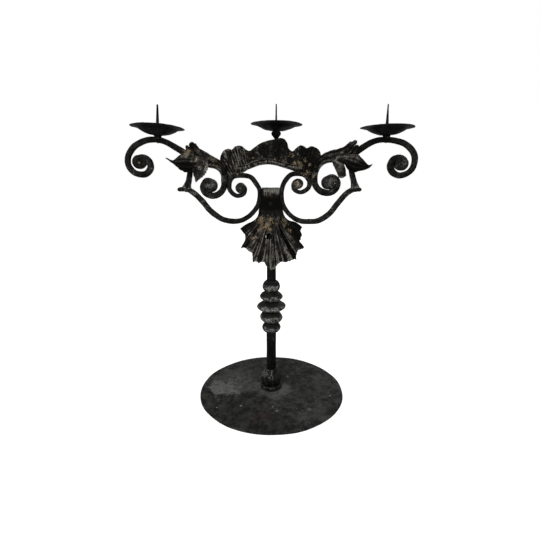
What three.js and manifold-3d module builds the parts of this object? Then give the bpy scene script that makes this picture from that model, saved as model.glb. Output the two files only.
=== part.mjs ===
// Forged-iron candelabrum with three prickets: a heavy disc foot, a beaded stem, a shell leaf that
// grips two scrolled bars, a palmette crest, leaf-clad arms and three drip pans with spikes.
// Millimetres. +Z is up, the front faces -Y, and the origin is on the floor under the stem.

import * as THREE from 'three';
import { mergeVertices } from 'three/addons/utils/BufferGeometryUtils.js';
import Module from 'manifold-3d';

const wasm = await Module();
wasm.setup();

// ---- Driving dimensions ----

const GAP = 0.3;                  // air between two pieces that touch

const BASE_RADIUS = 145;
const BASE_RIM = 3.6;             // height of the disc at its edge
const BASE_CROWN = 7;             // height of the disc at the stem
const SINK_RADIUS = 13;           // recess under the disc for the peened tenon
const SINK_DEPTH = 3.4;
const WASHER_RADIUS = 11;
const WASHER_THICKNESS = 1.2;
const PEEN_HEIGHT = 1;

const TENON_RADIUS = 6;
const STEM_RADIUS = 9.4;          // below the beads
const STEM_TOP_RADIUS = 8.8;      // through the beads and behind the shell
const TANG_HALF_WIDTH = 12.5;     // flattened top of the stem
const TANG_HALF_THICKNESS = 5;

const RING_RADIUS = 21;
const RING_HEIGHT = 8.4;
const COLLAR_RADIUS = 20;
const COLLAR_HEIGHT = 34;
const COLLAR_LIP = 1.2;           // metal left round the stem at the collar's top
const COLLAR_TURN = 9;            // degrees from the front to its nearest corner

const KNOP_SEAT = 128.6;            // height at which the stem's shoulder carries the beads
const KNOP_NECK = 10.4;           // radius of the flat where two beads meet
const KNOPS = [                   // from the lowest: radius, height, roundness of the rim
  { radius: 18.3, height: 19.3, roundness: 1.6 },
  { radius: 22.2, height: 23, roundness: 1.6 },
  { radius: 28.2, height: 20.3, roundness: 1.5 },
  { radius: 22.2, height: 18.8, roundness: 1.6 },
  { radius: 16.9, height: 21.6, roundness: 1.6 },
];

const NECK_X = -1;                // the neck and its scrolls sit a little left of the stem
const NECK_Z = 398.3;             // axis of the pin through the rolled neck
const NECK_WIDTH = 31;
const SHEET = 2.4;                // thickness of the shell, crest and leaves
const SHELL_FOOT = 257;           // height of the shell's lowest tip
const SHELL_DISH = 15;            // how far the shell's right edge turns back
const FLUTE = 1.9;                // depth of the shell's flutes
const SHELL_HOLE_RADIUS = 6;
const SHELL_HOLE_X = -4;
const SHELL_HOLE_Z = 319.7;

const SCROLL_BAR = 8.4;           // the lower scrolls at the neck
const SCROLL_BAR_WIDE = 10.2;     // and near their outer corner
const STRUT_BAR = 9;
const ARM_BAR = 10.4;             // the arms where they are plain
const ARM_COIL = 12.6;            // and where they widen into the outer volute
const LOWER_EYE_RADIUS = 9.4;     // snubbed end of a lower scroll's coil
const INNER_EYE_RADIUS = 10.6;    // and of an arm's two coils
const OUTER_EYE_RADIUS = 11.2;
const EYE_LIFT = 4;               // how far a coil's eye stands forward
const ARM_REACH = 259.5;          // outermost point of each arm

const CREST_FRONT = 7;            // how far the crest's middle stands forward
const CREST_RIPPLE = 1.2;
const STRIP_WIDTH = 11;
const STRIP_THICKNESS = 3.4;

const PAN_THICKNESS = 1.4;
const PAN_RADIUS = 47;            // the two side pans
const PAN_DEPTH = 12.9;
const PAN_LIFT = 3;               // a side pan's height above its arm
const CENTRE_PAN_RADIUS = 45.4;
const CENTRE_PAN_DEPTH = 11.2;
const CENTRE_PAN_TILT = 1.3;      // degrees
const BRIM_WIDTH = 11.8;
const BRIM_RISE = 2.9;
const PAN_FLOOR = 8;              // radius of a pan's flat middle
const PINCH = 4.3;                // radius of a pan collar's waist
const COLLAR_FLANGE = 6.6;
const SPIKE_FOOT = 2.9;           // radius of a side spike at its flange
const CENTRE_SPIKE_FOOT = 1.7;
const SPIKE_TIP = 0.8;
const SPIKE_LENGTH = 49.6;        // of the side spikes, above their seats
const CENTRE_SPIKE_LENGTH = 42.7;
const SPIKE_FLANGE = 4.4;
const FLANGE_THICKNESS = 1.2;
const SHANK_RADIUS = 1.9;         // a spike's shank below its flange
const CENTRE_X = 8.5;             // the middle pan stands off centre
const KNOB_RADIUS = 8.6;
const KNOB_HEIGHT = 12.2;
const KNOB_STAND = 0.8;           // height of the ball's foot above the crest's edge
const KNOB_SHANK = 3.1;           // radius of its shank behind the crest
const KNOB_SHANK_LENGTH = 28;
const KNOB_RIVET_RISE = 8;        // height of its rivet above the shank's foot

const PIN_RADIUS = 2.2;
const RIVET_RADIUS = 1.7;
const HEAD_HEIGHT = 1.6;
const STRUT_TENON = 2;            // radius of a strut's tenons
const PEEN_RADIUS = 3.2;          // and of their peened ends
const LEAF = 1.8;                 // thickness of the arm leaves
const LEAF_BULGE = 5;
const LEAF_FLUTE = 0.7;
const LEAF_RIVET = 0.12;          // the leaves' rivet, as a share of the husk's length

// Each side's own drawing, as it was bent by hand. A path is a list of [outward from the stem,
// height]; a coil is a list of [angle in degrees, radius] round its eye.
const SIDES = [
  {
    name: 'left', sign: -1, jointX: 79.3,
    lowerEyeZ: 405.4,
    lowerCoil: [[-270, 5.2], [-215, 6.2], [-165, 8], [-120, 11.4], [-60, 15.8], [-10, 20], [25, 22.3],
      [57, 23.6]],
    lowerRise: [[39, 423.4], [28, 412]],
    lowerFall: [[24.6, 376], [31.8, 365.5], [42.5, 355.2], [57, 347.7], [72.7, 345.6], [90.2, 349.9],
      [110.6, 364.6], [124.3, 381.4], [137.7, 394.9], [151, 402.8], [169.2, 402.6]],
    innerEye: [110, 410.5],
    innerCoil: [[505, 6], [460, 7.6], [405, 10], [345, 13.4], [302, 16.4], [254, 19.8], [215, 23],
      [184, 25.4]],
    armRise: [[84.9, 428.5], [89.2, 437.3], [96.5, 442.8], [106, 445.2], [118, 447], [130, 450.9],
      [143, 458.3], [157.4, 468.7], [171.5, 477.1], [183.7, 483.9], [198, 487.8], [213.6, 487.9],
      [227.5, 484.1], [240, 477]],
    outerEyeZ: 450.4,
    outerCoil: [[50, 24.4], [20, 22.8], [-15, 22.4], [-60, 22], [-110, 21.8], [-150, 19.8], [-185, 15.4],
      [-225, 10.6], [-270, 7.6], [-320, 5.6]],
    strut: [[152.5, 404], [147.2, 420], [144.4, 436], [143, 458]],
    panX: 198, panTilt: 3.1, spikeLean: -2.8,
    frond: [[91.7, 446.9], [108, 453.6], [119.5, 459.1], [129.5, 466.7], [134.6, 474.9], [138.4, 480.1]],
    frondWidth: [5, 8.5, 10, 9.5, 7.5, 5.7],
    finger: [[121, 458], [124, 447], [127, 436], [128.5, 428], [130, 420.5]],
    fingerWidth: [8, 12, 11, 7.6, 1.6],
    husk: [[117, 449.4], [127.8, 449], [135.8, 448.7], [146.7, 449.3], [157.4, 449.2], [164.6, 449.8],
      [172, 450.4], [182, 455.1]],
    huskWidth: [6, 9.9, 13.9, 16.9, 14.1, 8.1, 2.6, 1],
    crestRivet: [85.2, 430],
  },
  {
    name: 'right', sign: 1, jointX: 72.6,
    lowerEyeZ: 412.9,
    lowerCoil: [[-285, 5.2], [-230, 6.2], [-180, 8], [-125, 11.6], [-72, 15.8], [-22, 20.2], [12, 20.9],
      [48, 19.4], [84, 17.4]],
    lowerRise: [[35.7, 428.6], [24.4, 417]],
    lowerFall: [[21.4, 376], [27.9, 365.9], [40.5, 353.7], [54.2, 346.9], [70.4, 345], [87.9, 347.5],
      [105.4, 358.9], [121.6, 379.2], [135.3, 395], [148.4, 402.8], [163.1, 402.4]],
    innerEye: [104.6, 415.8],
    innerCoil: [[515, 6], [470, 7.8], [420, 10.6], [360, 14.6], [315, 16.6], [270, 18.8], [225, 22.4],
      [190, 26]],
    armRise: [[78.8, 434], [83.4, 443.2], [91, 450.4], [101.5, 454.3], [114, 455.2], [127, 456.4],
      [139, 460.2], [150.1, 467.3], [162.3, 476], [173.5, 482.7], [188, 487.4], [204.5, 488],
      [222, 485.4], [236.4, 480]],
    outerEyeZ: 447.4,
    outerCoil: [[52, 28], [25, 24.8], [-10, 21.8], [-50, 20.2], [-100, 20.4], [-140, 20.8], [-172, 20],
      [-208, 16.4], [-245, 11.4], [-290, 8], [-340, 5.8]],
    strut: [[151.6, 404], [147.4, 419], [143.2, 434], [137.5, 459]],
    panX: 201, panTilt: 0, spikeLean: 0.8,
    frond: [[88.9, 455.3], [104.2, 461.5], [118.2, 464], [128.7, 468.7], [137, 475.2], [144.8, 479.8]],
    frondWidth: [5.5, 8.3, 9, 9, 8.2, 6.7],
    finger: [[110, 466], [115, 451], [121.5, 437], [124.5, 425]],
    fingerWidth: [6.5, 8, 7.6, 5],
    husk: [[112.7, 454.6], [123.7, 454.8], [132.4, 453.2], [140.2, 450.4], [148.9, 447.6], [157.1, 446.4],
      [164.7, 444.2], [171.3, 444.1], [176.8, 446.9]],
    huskWidth: [5.1, 6.1, 9.6, 14.4, 15, 10.5, 6.4, 2.9, 1.1],
    crestRivet: [79.6, 435.5],
  },
];

// The shell's rim from its upper left lobe round the bottom to the upper right: [x, height].
const SHELL_RIM = [
  [-55.8, 334], [-50, 326], [-44.6, 317.5], [-48.6, 308], [-54, 299], [-43.7, 295.2], [-35.6, 289],
  [-34.4, 281.5], [-33.4, 273.2], [-24.4, 272.2], [-14, 271.4], [-8.2, 264.4], [-2.4, SHELL_FOOT],
  [5.2, 259], [10, 264], [16, 271.4], [27, 272.2], [39.5, 276], [45.4, 276.8], [46.2, 284.8],
  [49, 291.6], [60, 298.4], [52.4, 307], [57, 315.6], [51, 326.4], [57.4, 335.4],
];
const SHELL_SHOULDER_LEFT = [[-17.2, 369], [-20.4, 360.5], [-31, 348.8], [-46, 341.4], [-55.8, 334]];
const SHELL_SHOULDER_RIGHT = [[15, 369], [19, 361.5], [31, 348.8], [46, 343.6], [57.4, 335.4]];

// The crest's scalloped top and its lower edge: [x, height].
const CREST_TOP = [
  [-88, 424], [-91.3, 436], [-92, 448], [-90.8, 460], [-84.7, 470], [-76.9, 473.4], [-69.9, 472.4],
  [-64.2, 477.2], [-57.1, 478.6], [-50.2, 476.7], [-44.4, 471.6], [-38.4, 469.6], [-30, 474.8],
  [-18.9, 481.9], [-6, 486.6], [7, 488.9], [16.4, 490.8], [24, 488.2], [28.6, 480.6], [30.6, 473.2],
  [37.4, 469], [44, 474.4], [51.6, 478.8], [58, 477.4], [63.2, 474.2], [70.1, 476.7], [78.4, 474.2],
  [85.4, 467.4], [88, 458], [88.4, 446], [85.6, 434], [81, 422],
];
const CREST_FOOT = [
  [-80, 414], [-74, 428.4], [-65, 434.6], [-54, 436], [-46, 436], [-35, 440], [-22, 444.5],
  [-5, 446.3], [10, 444.2], [22, 440.8], [34, 437.4], [44, 437], [54, 436.6], [62, 433.6], [68.6, 427],
  [73.6, 414],
];
const STRIP_ENDS = [-60, 55];

// ---- Materials ----

const iron = new THREE.MeshStandardMaterial({ color: 0x2a2927, roughness: 0.72, metalness: 0.55 });
const dustyIron = new THREE.MeshStandardMaterial({ color: 0x3d3d3b, roughness: 0.8, metalness: 0.4 });
const wornIron = new THREE.MeshStandardMaterial({ color: 0x55534f, roughness: 0.6, metalness: 0.6 });
const giltIron = new THREE.MeshStandardMaterial({ color: 0x4c4234, roughness: 0.75, metalness: 0.45 });

const candelabrum = new THREE.Group();

// Adds one named piece to a group, with a material of its own.
function piece(name, geometry, material, group = candelabrum) {
  const mesh = new THREE.Mesh(geometry, material.clone());
  mesh.name = name;
  group.add(mesh);
  return mesh;
}

// ---- Shaping helpers ----

// One closed shell from any geometry: shared vertices are merged and the faces point out.
function closed(geometry) {
  geometry.deleteAttribute('normal');
  geometry.deleteAttribute('uv');
  return mergeVertices(geometry);
}

function facingOut(geometry) {
  const p = geometry.attributes.position;
  const index = geometry.index.array;
  const [a, b, c] = [new THREE.Vector3(), new THREE.Vector3(), new THREE.Vector3()];
  let volume = 0;
  for (let i = 0; i < index.length; i += 3) {
    a.fromBufferAttribute(p, index[i]);
    b.fromBufferAttribute(p, index[i + 1]);
    c.fromBufferAttribute(p, index[i + 2]);
    volume += a.dot(b.cross(c));
  }
  if (volume < 0) index.forEach((_, i) => {
    if (i % 3 === 0) [index[i], index[i + 1]] = [index[i + 1], index[i]];
  });
  geometry.computeVertexNormals();
  return geometry;
}

// Moves every vertex of a closed geometry by a function of its place.
function mapped(geometry, place) {
  const position = geometry.attributes.position;
  for (let i = 0; i < position.count; i++) {
    const point = place(position.getX(i), position.getY(i), position.getZ(i));
    position.setXYZ(i, point.x, point.y, point.z);
  }
  return facingOut(geometry);
}

function solid(geometry) {
  return new wasm.Manifold(new wasm.Mesh({
    numProp: 3,
    vertProperties: new Float32Array(geometry.attributes.position.array),
    triVerts: new Uint32Array(geometry.index.array),
  }));
}

function geometryOf(manifold) {
  const mesh = manifold.getMesh();
  const geometry = new THREE.BufferGeometry();
  geometry.setAttribute('position', new THREE.BufferAttribute(mesh.vertProperties, 3));
  geometry.setIndex(new THREE.BufferAttribute(mesh.triVerts, 1));
  geometry.computeVertexNormals();
  return geometry;
}

// The first geometry with the others joined to it, less the cutters.
function carved(geometry, { joins = [], cuts = [] }) {
  let body = solid(geometry);
  for (const join of joins) body = body.add(solid(join));
  for (const cut of cuts) body = body.subtract(solid(cut));
  return geometryOf(body);
}

// A turned piece: [radius, height] points that close on themselves or start and end on the axis.
function turned(profile, segments) {
  const points = profile.map(([radius, height]) => new THREE.Vector2(radius, height));
  return facingOut(closed(new THREE.LatheGeometry(points, segments)).rotateX(Math.PI / 2));
}

// A straight round pin between two points.
function pin(from, to, radius, sides = 10) {
  const axis = to.clone().sub(from);
  const geometry = closed(new THREE.CylinderGeometry(radius, radius, axis.length(), sides));
  geometry.applyQuaternion(new THREE.Quaternion().setFromUnitVectors(
    new THREE.Vector3(0, 1, 0), axis.clone().normalize()));
  geometry.translate(...from.clone().add(to).multiplyScalar(0.5).toArray());
  return facingOut(geometry);
}

// A rivet along an axis: a shank with a domed head at each end. With extra it is the hole that
// clears the rivet by that much, with a flat seat for each head.
function rivet(from, to, radius, headRadius, extra = 0) {
  const length = to.distanceTo(from);
  const [r, head, rise] = [radius + extra, headRadius + extra, HEAD_HEIGHT + extra];
  const dome = extra ? [[head, -rise]] : [[headRadius * 0.8, -rise * 0.7]];
  const profile = [[0, -rise], ...dome, [head, extra], [r, extra], [r, length - extra],
    [head, length - extra], ...dome.map(([x, z]) => [x, length - z]), [0, length + rise]];
  const geometry = turned(profile, 8);
  geometry.applyQuaternion(new THREE.Quaternion().setFromUnitVectors(
    new THREE.Vector3(0, 0, 1), to.clone().sub(from).normalize()));
  geometry.translate(from.x, from.y, from.z);
  return facingOut(geometry);
}

function smooth(t) {
  const c = Math.min(Math.max(t, 0), 1);
  return c * c * (3 - 2 * c);
}

// The value at t (0 to 1) of a list of evenly spaced numbers.
function along(list, t) {
  const place = Math.min(Math.max(t, 0), 1) * (list.length - 1);
  const i = Math.min(Math.floor(place), list.length - 2);
  return list[i] + (list[i + 1] - list[i]) * (place - i);
}

// A smooth flat curve through [x, height] points, lying at y = 0.
function curveThrough(points) {
  return new THREE.CatmullRomCurve3(
    points.map(([x, z, y = 0]) => new THREE.Vector3(x, y, z)), false, 'centripetal');
}

// A forged bar along a curve: its half width in the plane of the work follows widths, and its
// half depth is depth times that.
function bar(curve, widths, { depth, steps, sides = 8 }) {
  const front = new THREE.Vector3(0, 1, 0);
  const skin = closed(new THREE.CylinderGeometry(1, 1, 1, sides, steps));
  return mapped(skin, (x, y, z) => {
    const t = Math.min(Math.max(y + 0.5, 0), 1);
    const centre = curve.getPointAt(t);
    const side = curve.getTangentAt(t).cross(front).normalize();
    const half = along(widths, t);
    return centre.addScaledVector(side, x * half).addScaledVector(front, z * half * depth);
  });
}

// A beaten sheet: place(u, v) gives its middle surface and offset(side) its two faces.
function sheet(columns, rows, place) {
  const skin = closed(new THREE.BoxGeometry(1, 1, 1, columns, rows, 1));
  return mapped(skin, (x, y, z) => place(x + 0.5, y + 0.5, z * 2));
}

// ---- Foot ----

function baseDisc() {
  const bore = TENON_RADIUS + GAP;
  const profile = [[bore, SINK_DEPTH], [SINK_RADIUS, SINK_DEPTH], [SINK_RADIUS, 0], [BASE_RADIUS - 1, 0],
    [BASE_RADIUS, 1], [BASE_RADIUS, BASE_RIM - 1.2]];
  for (const share of [0.985, 0.92, 0.75, 0.45]) {
    const rise = Math.cos((share * Math.PI) / 2) ** 0.7;
    profile.push([BASE_RADIUS * share, BASE_RIM + (BASE_CROWN - BASE_RIM) * rise]);
  }
  profile.push([RING_RADIUS, BASE_CROWN], [bore, BASE_CROWN], [bore, SINK_DEPTH]);
  return turned(profile, 40);
}

function washer() {
  const top = SINK_DEPTH - GAP;
  const bore = TENON_RADIUS + GAP;
  return turned([[bore, top - WASHER_THICKNESS], [WASHER_RADIUS, top - WASHER_THICKNESS],
    [WASHER_RADIUS, top], [bore, top], [bore, top - WASHER_THICKNESS]], 16);
}

const ringFoot = BASE_CROWN + GAP;
const collarFoot = ringFoot + RING_HEIGHT + GAP;
const stemBore = STEM_RADIUS + GAP;

function footRing() {
  const r = RING_RADIUS;
  const top = ringFoot + RING_HEIGHT;
  return turned([[stemBore, ringFoot], [r - 0.6, ringFoot], [r + 0.1, ringFoot + 2], [r, top - 1.6],
    [r - 1.4, top], [stemBore, top], [stemBore, ringFoot]], 24);
}

function footCollar() {
  const h = COLLAR_HEIGHT;
  const r = COLLAR_RADIUS;
  const lip = stemBore + COLLAR_LIP;
  const bore = stemBore / Math.cos(Math.PI / 8);
  const levels = [[r * 0.86, 0], [r * 0.93, h * 0.18], [r, h * 0.42], [r * 0.93, h * 0.55],
    [lip + (r - lip) * 0.3, h * 0.78], [lip, h]];
  return turned([[bore, collarFoot], ...levels.map(([radius, z]) => [radius, collarFoot + z]),
    [bore, collarFoot + h], [bore, collarFoot]], 8).rotateZ(THREE.MathUtils.degToRad(COLLAR_TURN));
}

piece('base_disc', baseDisc(), dustyIron);
piece('base_washer', washer(), iron);
piece('foot_ring', footRing(), iron);
piece('foot_collar', footCollar(), iron);

// ---- Stem and beads ----

const knopStack = KNOPS.reduce((height, knop) => height + knop.height + GAP, 0);
const knopTop = KNOP_SEAT + knopStack;

// Section of the stem at each height: [height, half width, half thickness].
function stem() {
  const peenTop = SINK_DEPTH - 2 * GAP - WASHER_THICKNESS;
  const peen = Math.min(PEEN_HEIGHT, peenTop - GAP);
  const [low, high] = [STEM_RADIUS, STEM_TOP_RADIUS];
  const flat = NECK_Z - 30;
  const levels = [
    [peenTop - peen, TENON_RADIUS + 1.6, TENON_RADIUS + 1.6], [peenTop, TENON_RADIUS + 2, TENON_RADIUS + 2],
    [peenTop, TENON_RADIUS, TENON_RADIUS], [ringFoot, TENON_RADIUS, TENON_RADIUS], [ringFoot, low, low],
    [KNOP_SEAT - GAP, low, low], [KNOP_SEAT - GAP, high, high], [knopTop, high, high],
    [flat - 45, high, high], [flat - 22, high + 1, high - 1.6],
    [flat, TANG_HALF_WIDTH, TANG_HALF_THICKNESS],
    ...[0, 30, 50, 68].map((degrees) => {
      const angle = THREE.MathUtils.degToRad(degrees);
      return [NECK_Z + TANG_HALF_THICKNESS * Math.sin(angle), TANG_HALF_WIDTH,
        TANG_HALF_THICKNESS * Math.cos(angle)];
    }),
  ];
  const skin = closed(new THREE.CylinderGeometry(1, 1, 1, 16, levels.length - 1)).rotateX(Math.PI / 2);
  const rod = mapped(skin, (x, y, z) => {
    const [height, width, thickness] = levels[Math.round((z + 0.5) * (levels.length - 1))];
    const shift = NECK_X * smooth((height - knopTop) / (flat - knopTop));
    return new THREE.Vector3(x * width + shift, y * thickness, height);
  });
  return carved(rod, { cuts: [neckPin(GAP), shellRivet(GAP)] });
}

function knop({ radius, height, roundness }, seat) {
  const bore = STEM_TOP_RADIUS + GAP;
  const neck = Math.min(KNOP_NECK, radius - 2);
  const rim = [-70, -42, -15, 15, 42, 70].map((degrees) => {
    const angle = THREE.MathUtils.degToRad(degrees);
    const out = Math.cos(angle) ** (2 / roundness);
    const up = Math.sign(angle) * Math.abs(Math.sin(angle)) ** (2 / roundness);
    return [neck + (radius - neck) * out, seat + (height / 2) * (1 + up)];
  });
  return turned([[bore, seat], [neck, seat], ...rim, [neck, seat + height], [bore, seat + height],
    [bore, seat]], 16);
}

KNOPS.forEach((shape, i) => {
  const seat = KNOPS.slice(0, i).reduce((height, below) => height + below.height + GAP, KNOP_SEAT);
  piece(`knop_${i + 1}`, knop(shape, seat), wornIron);
});

// ---- Neck ----

const neckSide = NECK_WIDTH / 2 + GAP + SCROLL_BAR / 2;

function neckPin(extra) {
  const reach = neckSide + SCROLL_BAR / 2 + GAP;
  const [from, to] = [-1, 1].map((sign) => new THREE.Vector3(NECK_X + sign * reach, 0, NECK_Z));
  return rivet(from, to, PIN_RADIUS, PIN_RADIUS + 1.6, extra);
}

const rollInner = TANG_HALF_THICKNESS + 2 * GAP;
const rollOuter = rollInner + SHEET;
const shellRivetZ = NECK_Z - 21;

function shellRivet(extra) {
  const from = new THREE.Vector3(NECK_X, -rollOuter - GAP, shellRivetZ);
  const to = new THREE.Vector3(NECK_X, TANG_HALF_THICKNESS + GAP, shellRivetZ);
  return rivet(from, to, RIVET_RADIUS, RIVET_RADIUS + 1.8, extra);
}

piece('stem', stem(), iron);
piece('neck_pin', neckPin(), iron);
piece('shell_rivet', shellRivet(), iron);

// ---- Shell leaf ----

// Depth of the shell's middle surface in front of the stem's axis: it clears the round stem,
// its sides turn back, and flutes run out from the neck to every lobe of the rim.
function shellDepth(x, z, across, down) {
  const middle = rollInner + SHEET / 2;
  const clear = STEM_TOP_RADIUS + GAP + SHEET / 2 + FLUTE + 1.5;
  const forward = middle + (clear - middle) * smooth((NECK_Z - 27 - z) / 24);
  const turn = across > 0 ? SHELL_DISH : SHELL_DISH * 0.5;
  const back = turn * Math.abs(across) ** 2.4 * smooth(down * 1.2);
  const flute = FLUTE * Math.cos(across * Math.PI * 7.5) * smooth(down * 1.6) * (1 - 0.4 * Math.abs(across));
  return forward - back + flute;
}

function shellLeaf() {
  const rim = curveThrough(SHELL_RIM);
  const shoulders = [curveThrough(SHELL_SHOULDER_LEFT), curveThrough(SHELL_SHOULDER_RIGHT)];
  const [rollRows, neckRows, fanRows] = [5, 1, 7];
  const rows = rollRows + neckRows + fanRows;
  const rollShare = rollRows / rows;
  const neckShare = (rollRows + neckRows) / rows;
  const neckEnd = SHELL_SHOULDER_LEFT[0][1];
  const leaf = sheet(2 * (SHELL_RIM.length - 1), rows, (u, v, side) => {
    const across = u * 2 - 1;
    const t = 1 - v;
    if (t <= rollShare + 1e-6) {
      // Rolled over the pin: from behind, over the top, to the front.
      const angle = THREE.MathUtils.degToRad(-20 + 200 * (t / rollShare));
      const radius = side > 0 ? rollOuter : rollInner;
      return new THREE.Vector3(NECK_X + across * NECK_WIDTH / 2,
        radius * Math.cos(angle), NECK_Z + radius * Math.sin(angle));
    }
    let point;
    let down = 0;
    if (t <= neckShare) {
      const share = (t - rollShare) / (neckShare - rollShare);
      point = new THREE.Vector3(NECK_X + across * NECK_WIDTH / 2, 0, NECK_Z + (neckEnd - NECK_Z) * share);
    } else {
      down = (t - neckShare) / (1 - neckShare);
      const edge = shoulders[across < 0 ? 0 : 1].getPoint(down);
      const end = rim.getPoint(u);
      const start = new THREE.Vector3(NECK_X + across * NECK_WIDTH / 2, 0, neckEnd);
      const knee = new THREE.Vector3(across * 20, 0, 336 + 8 * Math.abs(across));
      const ray = new THREE.QuadraticBezierCurve3(start, knee, end).getPoint(down);
      point = ray.lerp(edge, Math.abs(across) ** 6);
    }
    const depth = shellDepth(point.x, point.z, across, down);
    return new THREE.Vector3(point.x, -depth - side * SHEET / 2, point.z);
  });
  const hole = pin(new THREE.Vector3(SHELL_HOLE_X, -60, SHELL_HOLE_Z),
    new THREE.Vector3(SHELL_HOLE_X, -STEM_TOP_RADIUS, SHELL_HOLE_Z), SHELL_HOLE_RADIUS, 14);
  return carved(leaf, { cuts: [hole, shellRivet(GAP)] });
}

piece('shell_leaf', shellLeaf(), giltIron);

// ---- Scrolled bars ----

const mirrored = (points, sign) => points.map(([x, z, y = 0]) => [x * sign, z, y]);

// Points of a coil round its eye; its inner end stands forward.
function coil([x, z], turns) {
  const inward = turns.slice().sort((a, b) => a[1] - b[1]);
  return turns.map((turn) => {
    const [degrees, radius] = turn;
    const angle = THREE.MathUtils.degToRad(degrees);
    const rank = inward.indexOf(turn) / 4;
    const lift = EYE_LIFT * Math.max(0, 1 - rank) ** 2;
    return [x + radius * Math.cos(angle), z + radius * Math.sin(angle), -lift];
  });
}

// How far a coil reaches outward from its eye.
function coilReach(turns) {
  return Math.max(...turns.map(([degrees, radius]) => radius * Math.cos(THREE.MathUtils.degToRad(degrees))));
}

// The snubbed end of a coil: a short stub along Y, rounded in front and flat behind.
function eye([x, z], sign, radius, depth) {
  const front = depth + EYE_LIFT;
  const profile = [[0, -front], [radius * 0.7, -front + 0.3], [radius, -front + 3], [radius, depth * 0.6],
    [radius * 0.85, depth], [0, depth]];
  return facingOut(turned(profile, 12).rotateX(-Math.PI / 2).translate(sign * x, 0, z));
}

const lowerHalves = [0.38, 0.42, 0.46, 0.5, 0.5, 0.5, 0.5, 0.5, 0.5, 0.5].map((share) => share * SCROLL_BAR)
  .concat([0.45, 0.47, 0.5, 0.5, 0.49, 0.46, 0.3].map((share) => share * SCROLL_BAR_WIDE));
const armHalves = [0.34, 0.37, 0.4, 0.43, 0.45, 0.46, 0.47, 0.5, 0.53, 0.53, 0.49, 0.44, 0.44, 0.48, 0.51,
  0.52].map((share) => share * ARM_BAR)
  .concat([0.43, 0.46, 0.5, 0.46, 0.36].map((share) => share * ARM_COIL));
const barDepth = 0.95;
const armDepth = barDepth * ARM_BAR * 0.53;

// The outermost point of a bar.
function barReach(curve, halves) {
  const samples = 600;
  return Math.max(...Array.from({ length: samples }, (_, i) => {
    const t = i / samples;
    return Math.abs(curve.getPointAt(t).x) + along(halves, t) * Math.abs(curve.getTangentAt(t).z);
  }));
}

// Both bars of a side: their eyes and centre lines.
function layOut(side) {
  const { sign } = side;
  const lowerEye = [side.jointX - GAP / 2 - SCROLL_BAR / 2 - coilReach(side.lowerCoil), side.lowerEyeZ];
  const neck = neckSide + sign * NECK_X;
  const lower = curveThrough(mirrored([...coil(lowerEye, side.lowerCoil), ...side.lowerRise,
    [neck, NECK_Z + 4], [neck, NECK_Z - 12], ...side.lowerFall], sign));
  const beside = side.jointX + GAP / 2 + ARM_BAR * 0.47;
  const armWith = (eyeX) => curveThrough(mirrored([...coil(side.innerEye, side.innerCoil),
    [beside, side.innerEye[1] + 9], ...side.armRise, ...coil([eyeX, side.outerEyeZ], side.outerCoil)], sign));
  let outerX = ARM_REACH - ARM_BAR / 2 - coilReach(side.outerCoil);
  for (let i = 0; i < 3; i++) outerX += ARM_REACH - barReach(armWith(outerX), armHalves);
  return { lowerEye, outerEye: [outerX, side.outerEyeZ], lower, arm: armWith(outerX) };
}

// The highest point of a curve above a given x: its height and the half height of the bar there.
function topAt(curve, halves, x) {
  const samples = 1200;
  let best = null;
  for (let i = 0; i < samples; i++) {
    const [t, next] = [i / samples, (i + 1) / samples];
    const [a, b] = [curve.getPointAt(t), curve.getPointAt(next)];
    if ((a.x - x) * (b.x - x) > 0 || (best && a.z < best.centre)) continue;
    const slope = (b.z - a.z) / (b.x - a.x);
    best = { centre: a.z + slope * (x - a.x), half: along(halves, t) * Math.hypot(1, slope) };
  }
  return best;
}

const grown = (halves, extra) => halves.map((half) => half + extra);
const lowerBar = (curve, extra = 0) => bar(curve, grown(lowerHalves, extra), { depth: barDepth, steps: 46 });
const armBar = (curve, extra = 0) => bar(curve, grown(armHalves, extra), { depth: barDepth, steps: 64 });

// An upright pin at x, from one height to another.
const post = (x, z0, z1, radius) => pin(new THREE.Vector3(x, 0, z0), new THREE.Vector3(x, 0, z1), radius, 8);

// A riveted joint along Y at [x, z] between two depths.
function throughRivet([x, z], y0, y1, extra) {
  const [from, to] = [new THREE.Vector3(x, y0, z), new THREE.Vector3(x, y1, z)];
  return rivet(from, to, RIVET_RADIUS, RIVET_RADIUS + 1.6, extra);
}

// The strut between a lower scroll's corner and the arm: coped to both bars, with a tenon through each.
function strutShape(side, lay, extra = 0) {
  const [footX] = side.strut[0];
  const [topX] = side.strut.at(-1);
  const foot = topAt(lay.lower, lowerHalves, side.sign * footX);
  const top = topAt(lay.arm, armHalves, side.sign * topX);
  const points = [[footX, foot.centre], ...side.strut.slice(1, -1), [topX, top.centre]];
  const halves = [0.62, 0.54, 0.5, 0.5, 0.5, 0.5].map((share) => share * STRUT_BAR);
  const ends = [[side.sign * footX, foot, -1], [side.sign * topX, top, 1]];
  // Each tenon runs through its bar to a peened head on the far side.
  const tenons = ends.flatMap(([x, { centre, half }, way]) => {
    const seat = centre + way * (half + GAP - extra);
    const head = seat + way * (HEAD_HEIGHT + 2 * extra);
    const tenon = post(x, centre - way * (half + 3), seat, STRUT_TENON + extra);
    return [tenon, post(x, seat, head, PEEN_RADIUS + extra)];
  });
  if (extra) return tenons;
  let body = solid(bar(curveThrough(mirrored(points, side.sign)), halves, { depth: 0.9, steps: 7 }));
  body = body.subtract(solid(lowerBar(lay.lower, GAP))).subtract(solid(armBar(lay.arm, GAP)));
  for (const part of tenons) body = body.add(solid(part));
  return geometryOf(body);
}

// ---- Arm leaves ----

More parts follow.
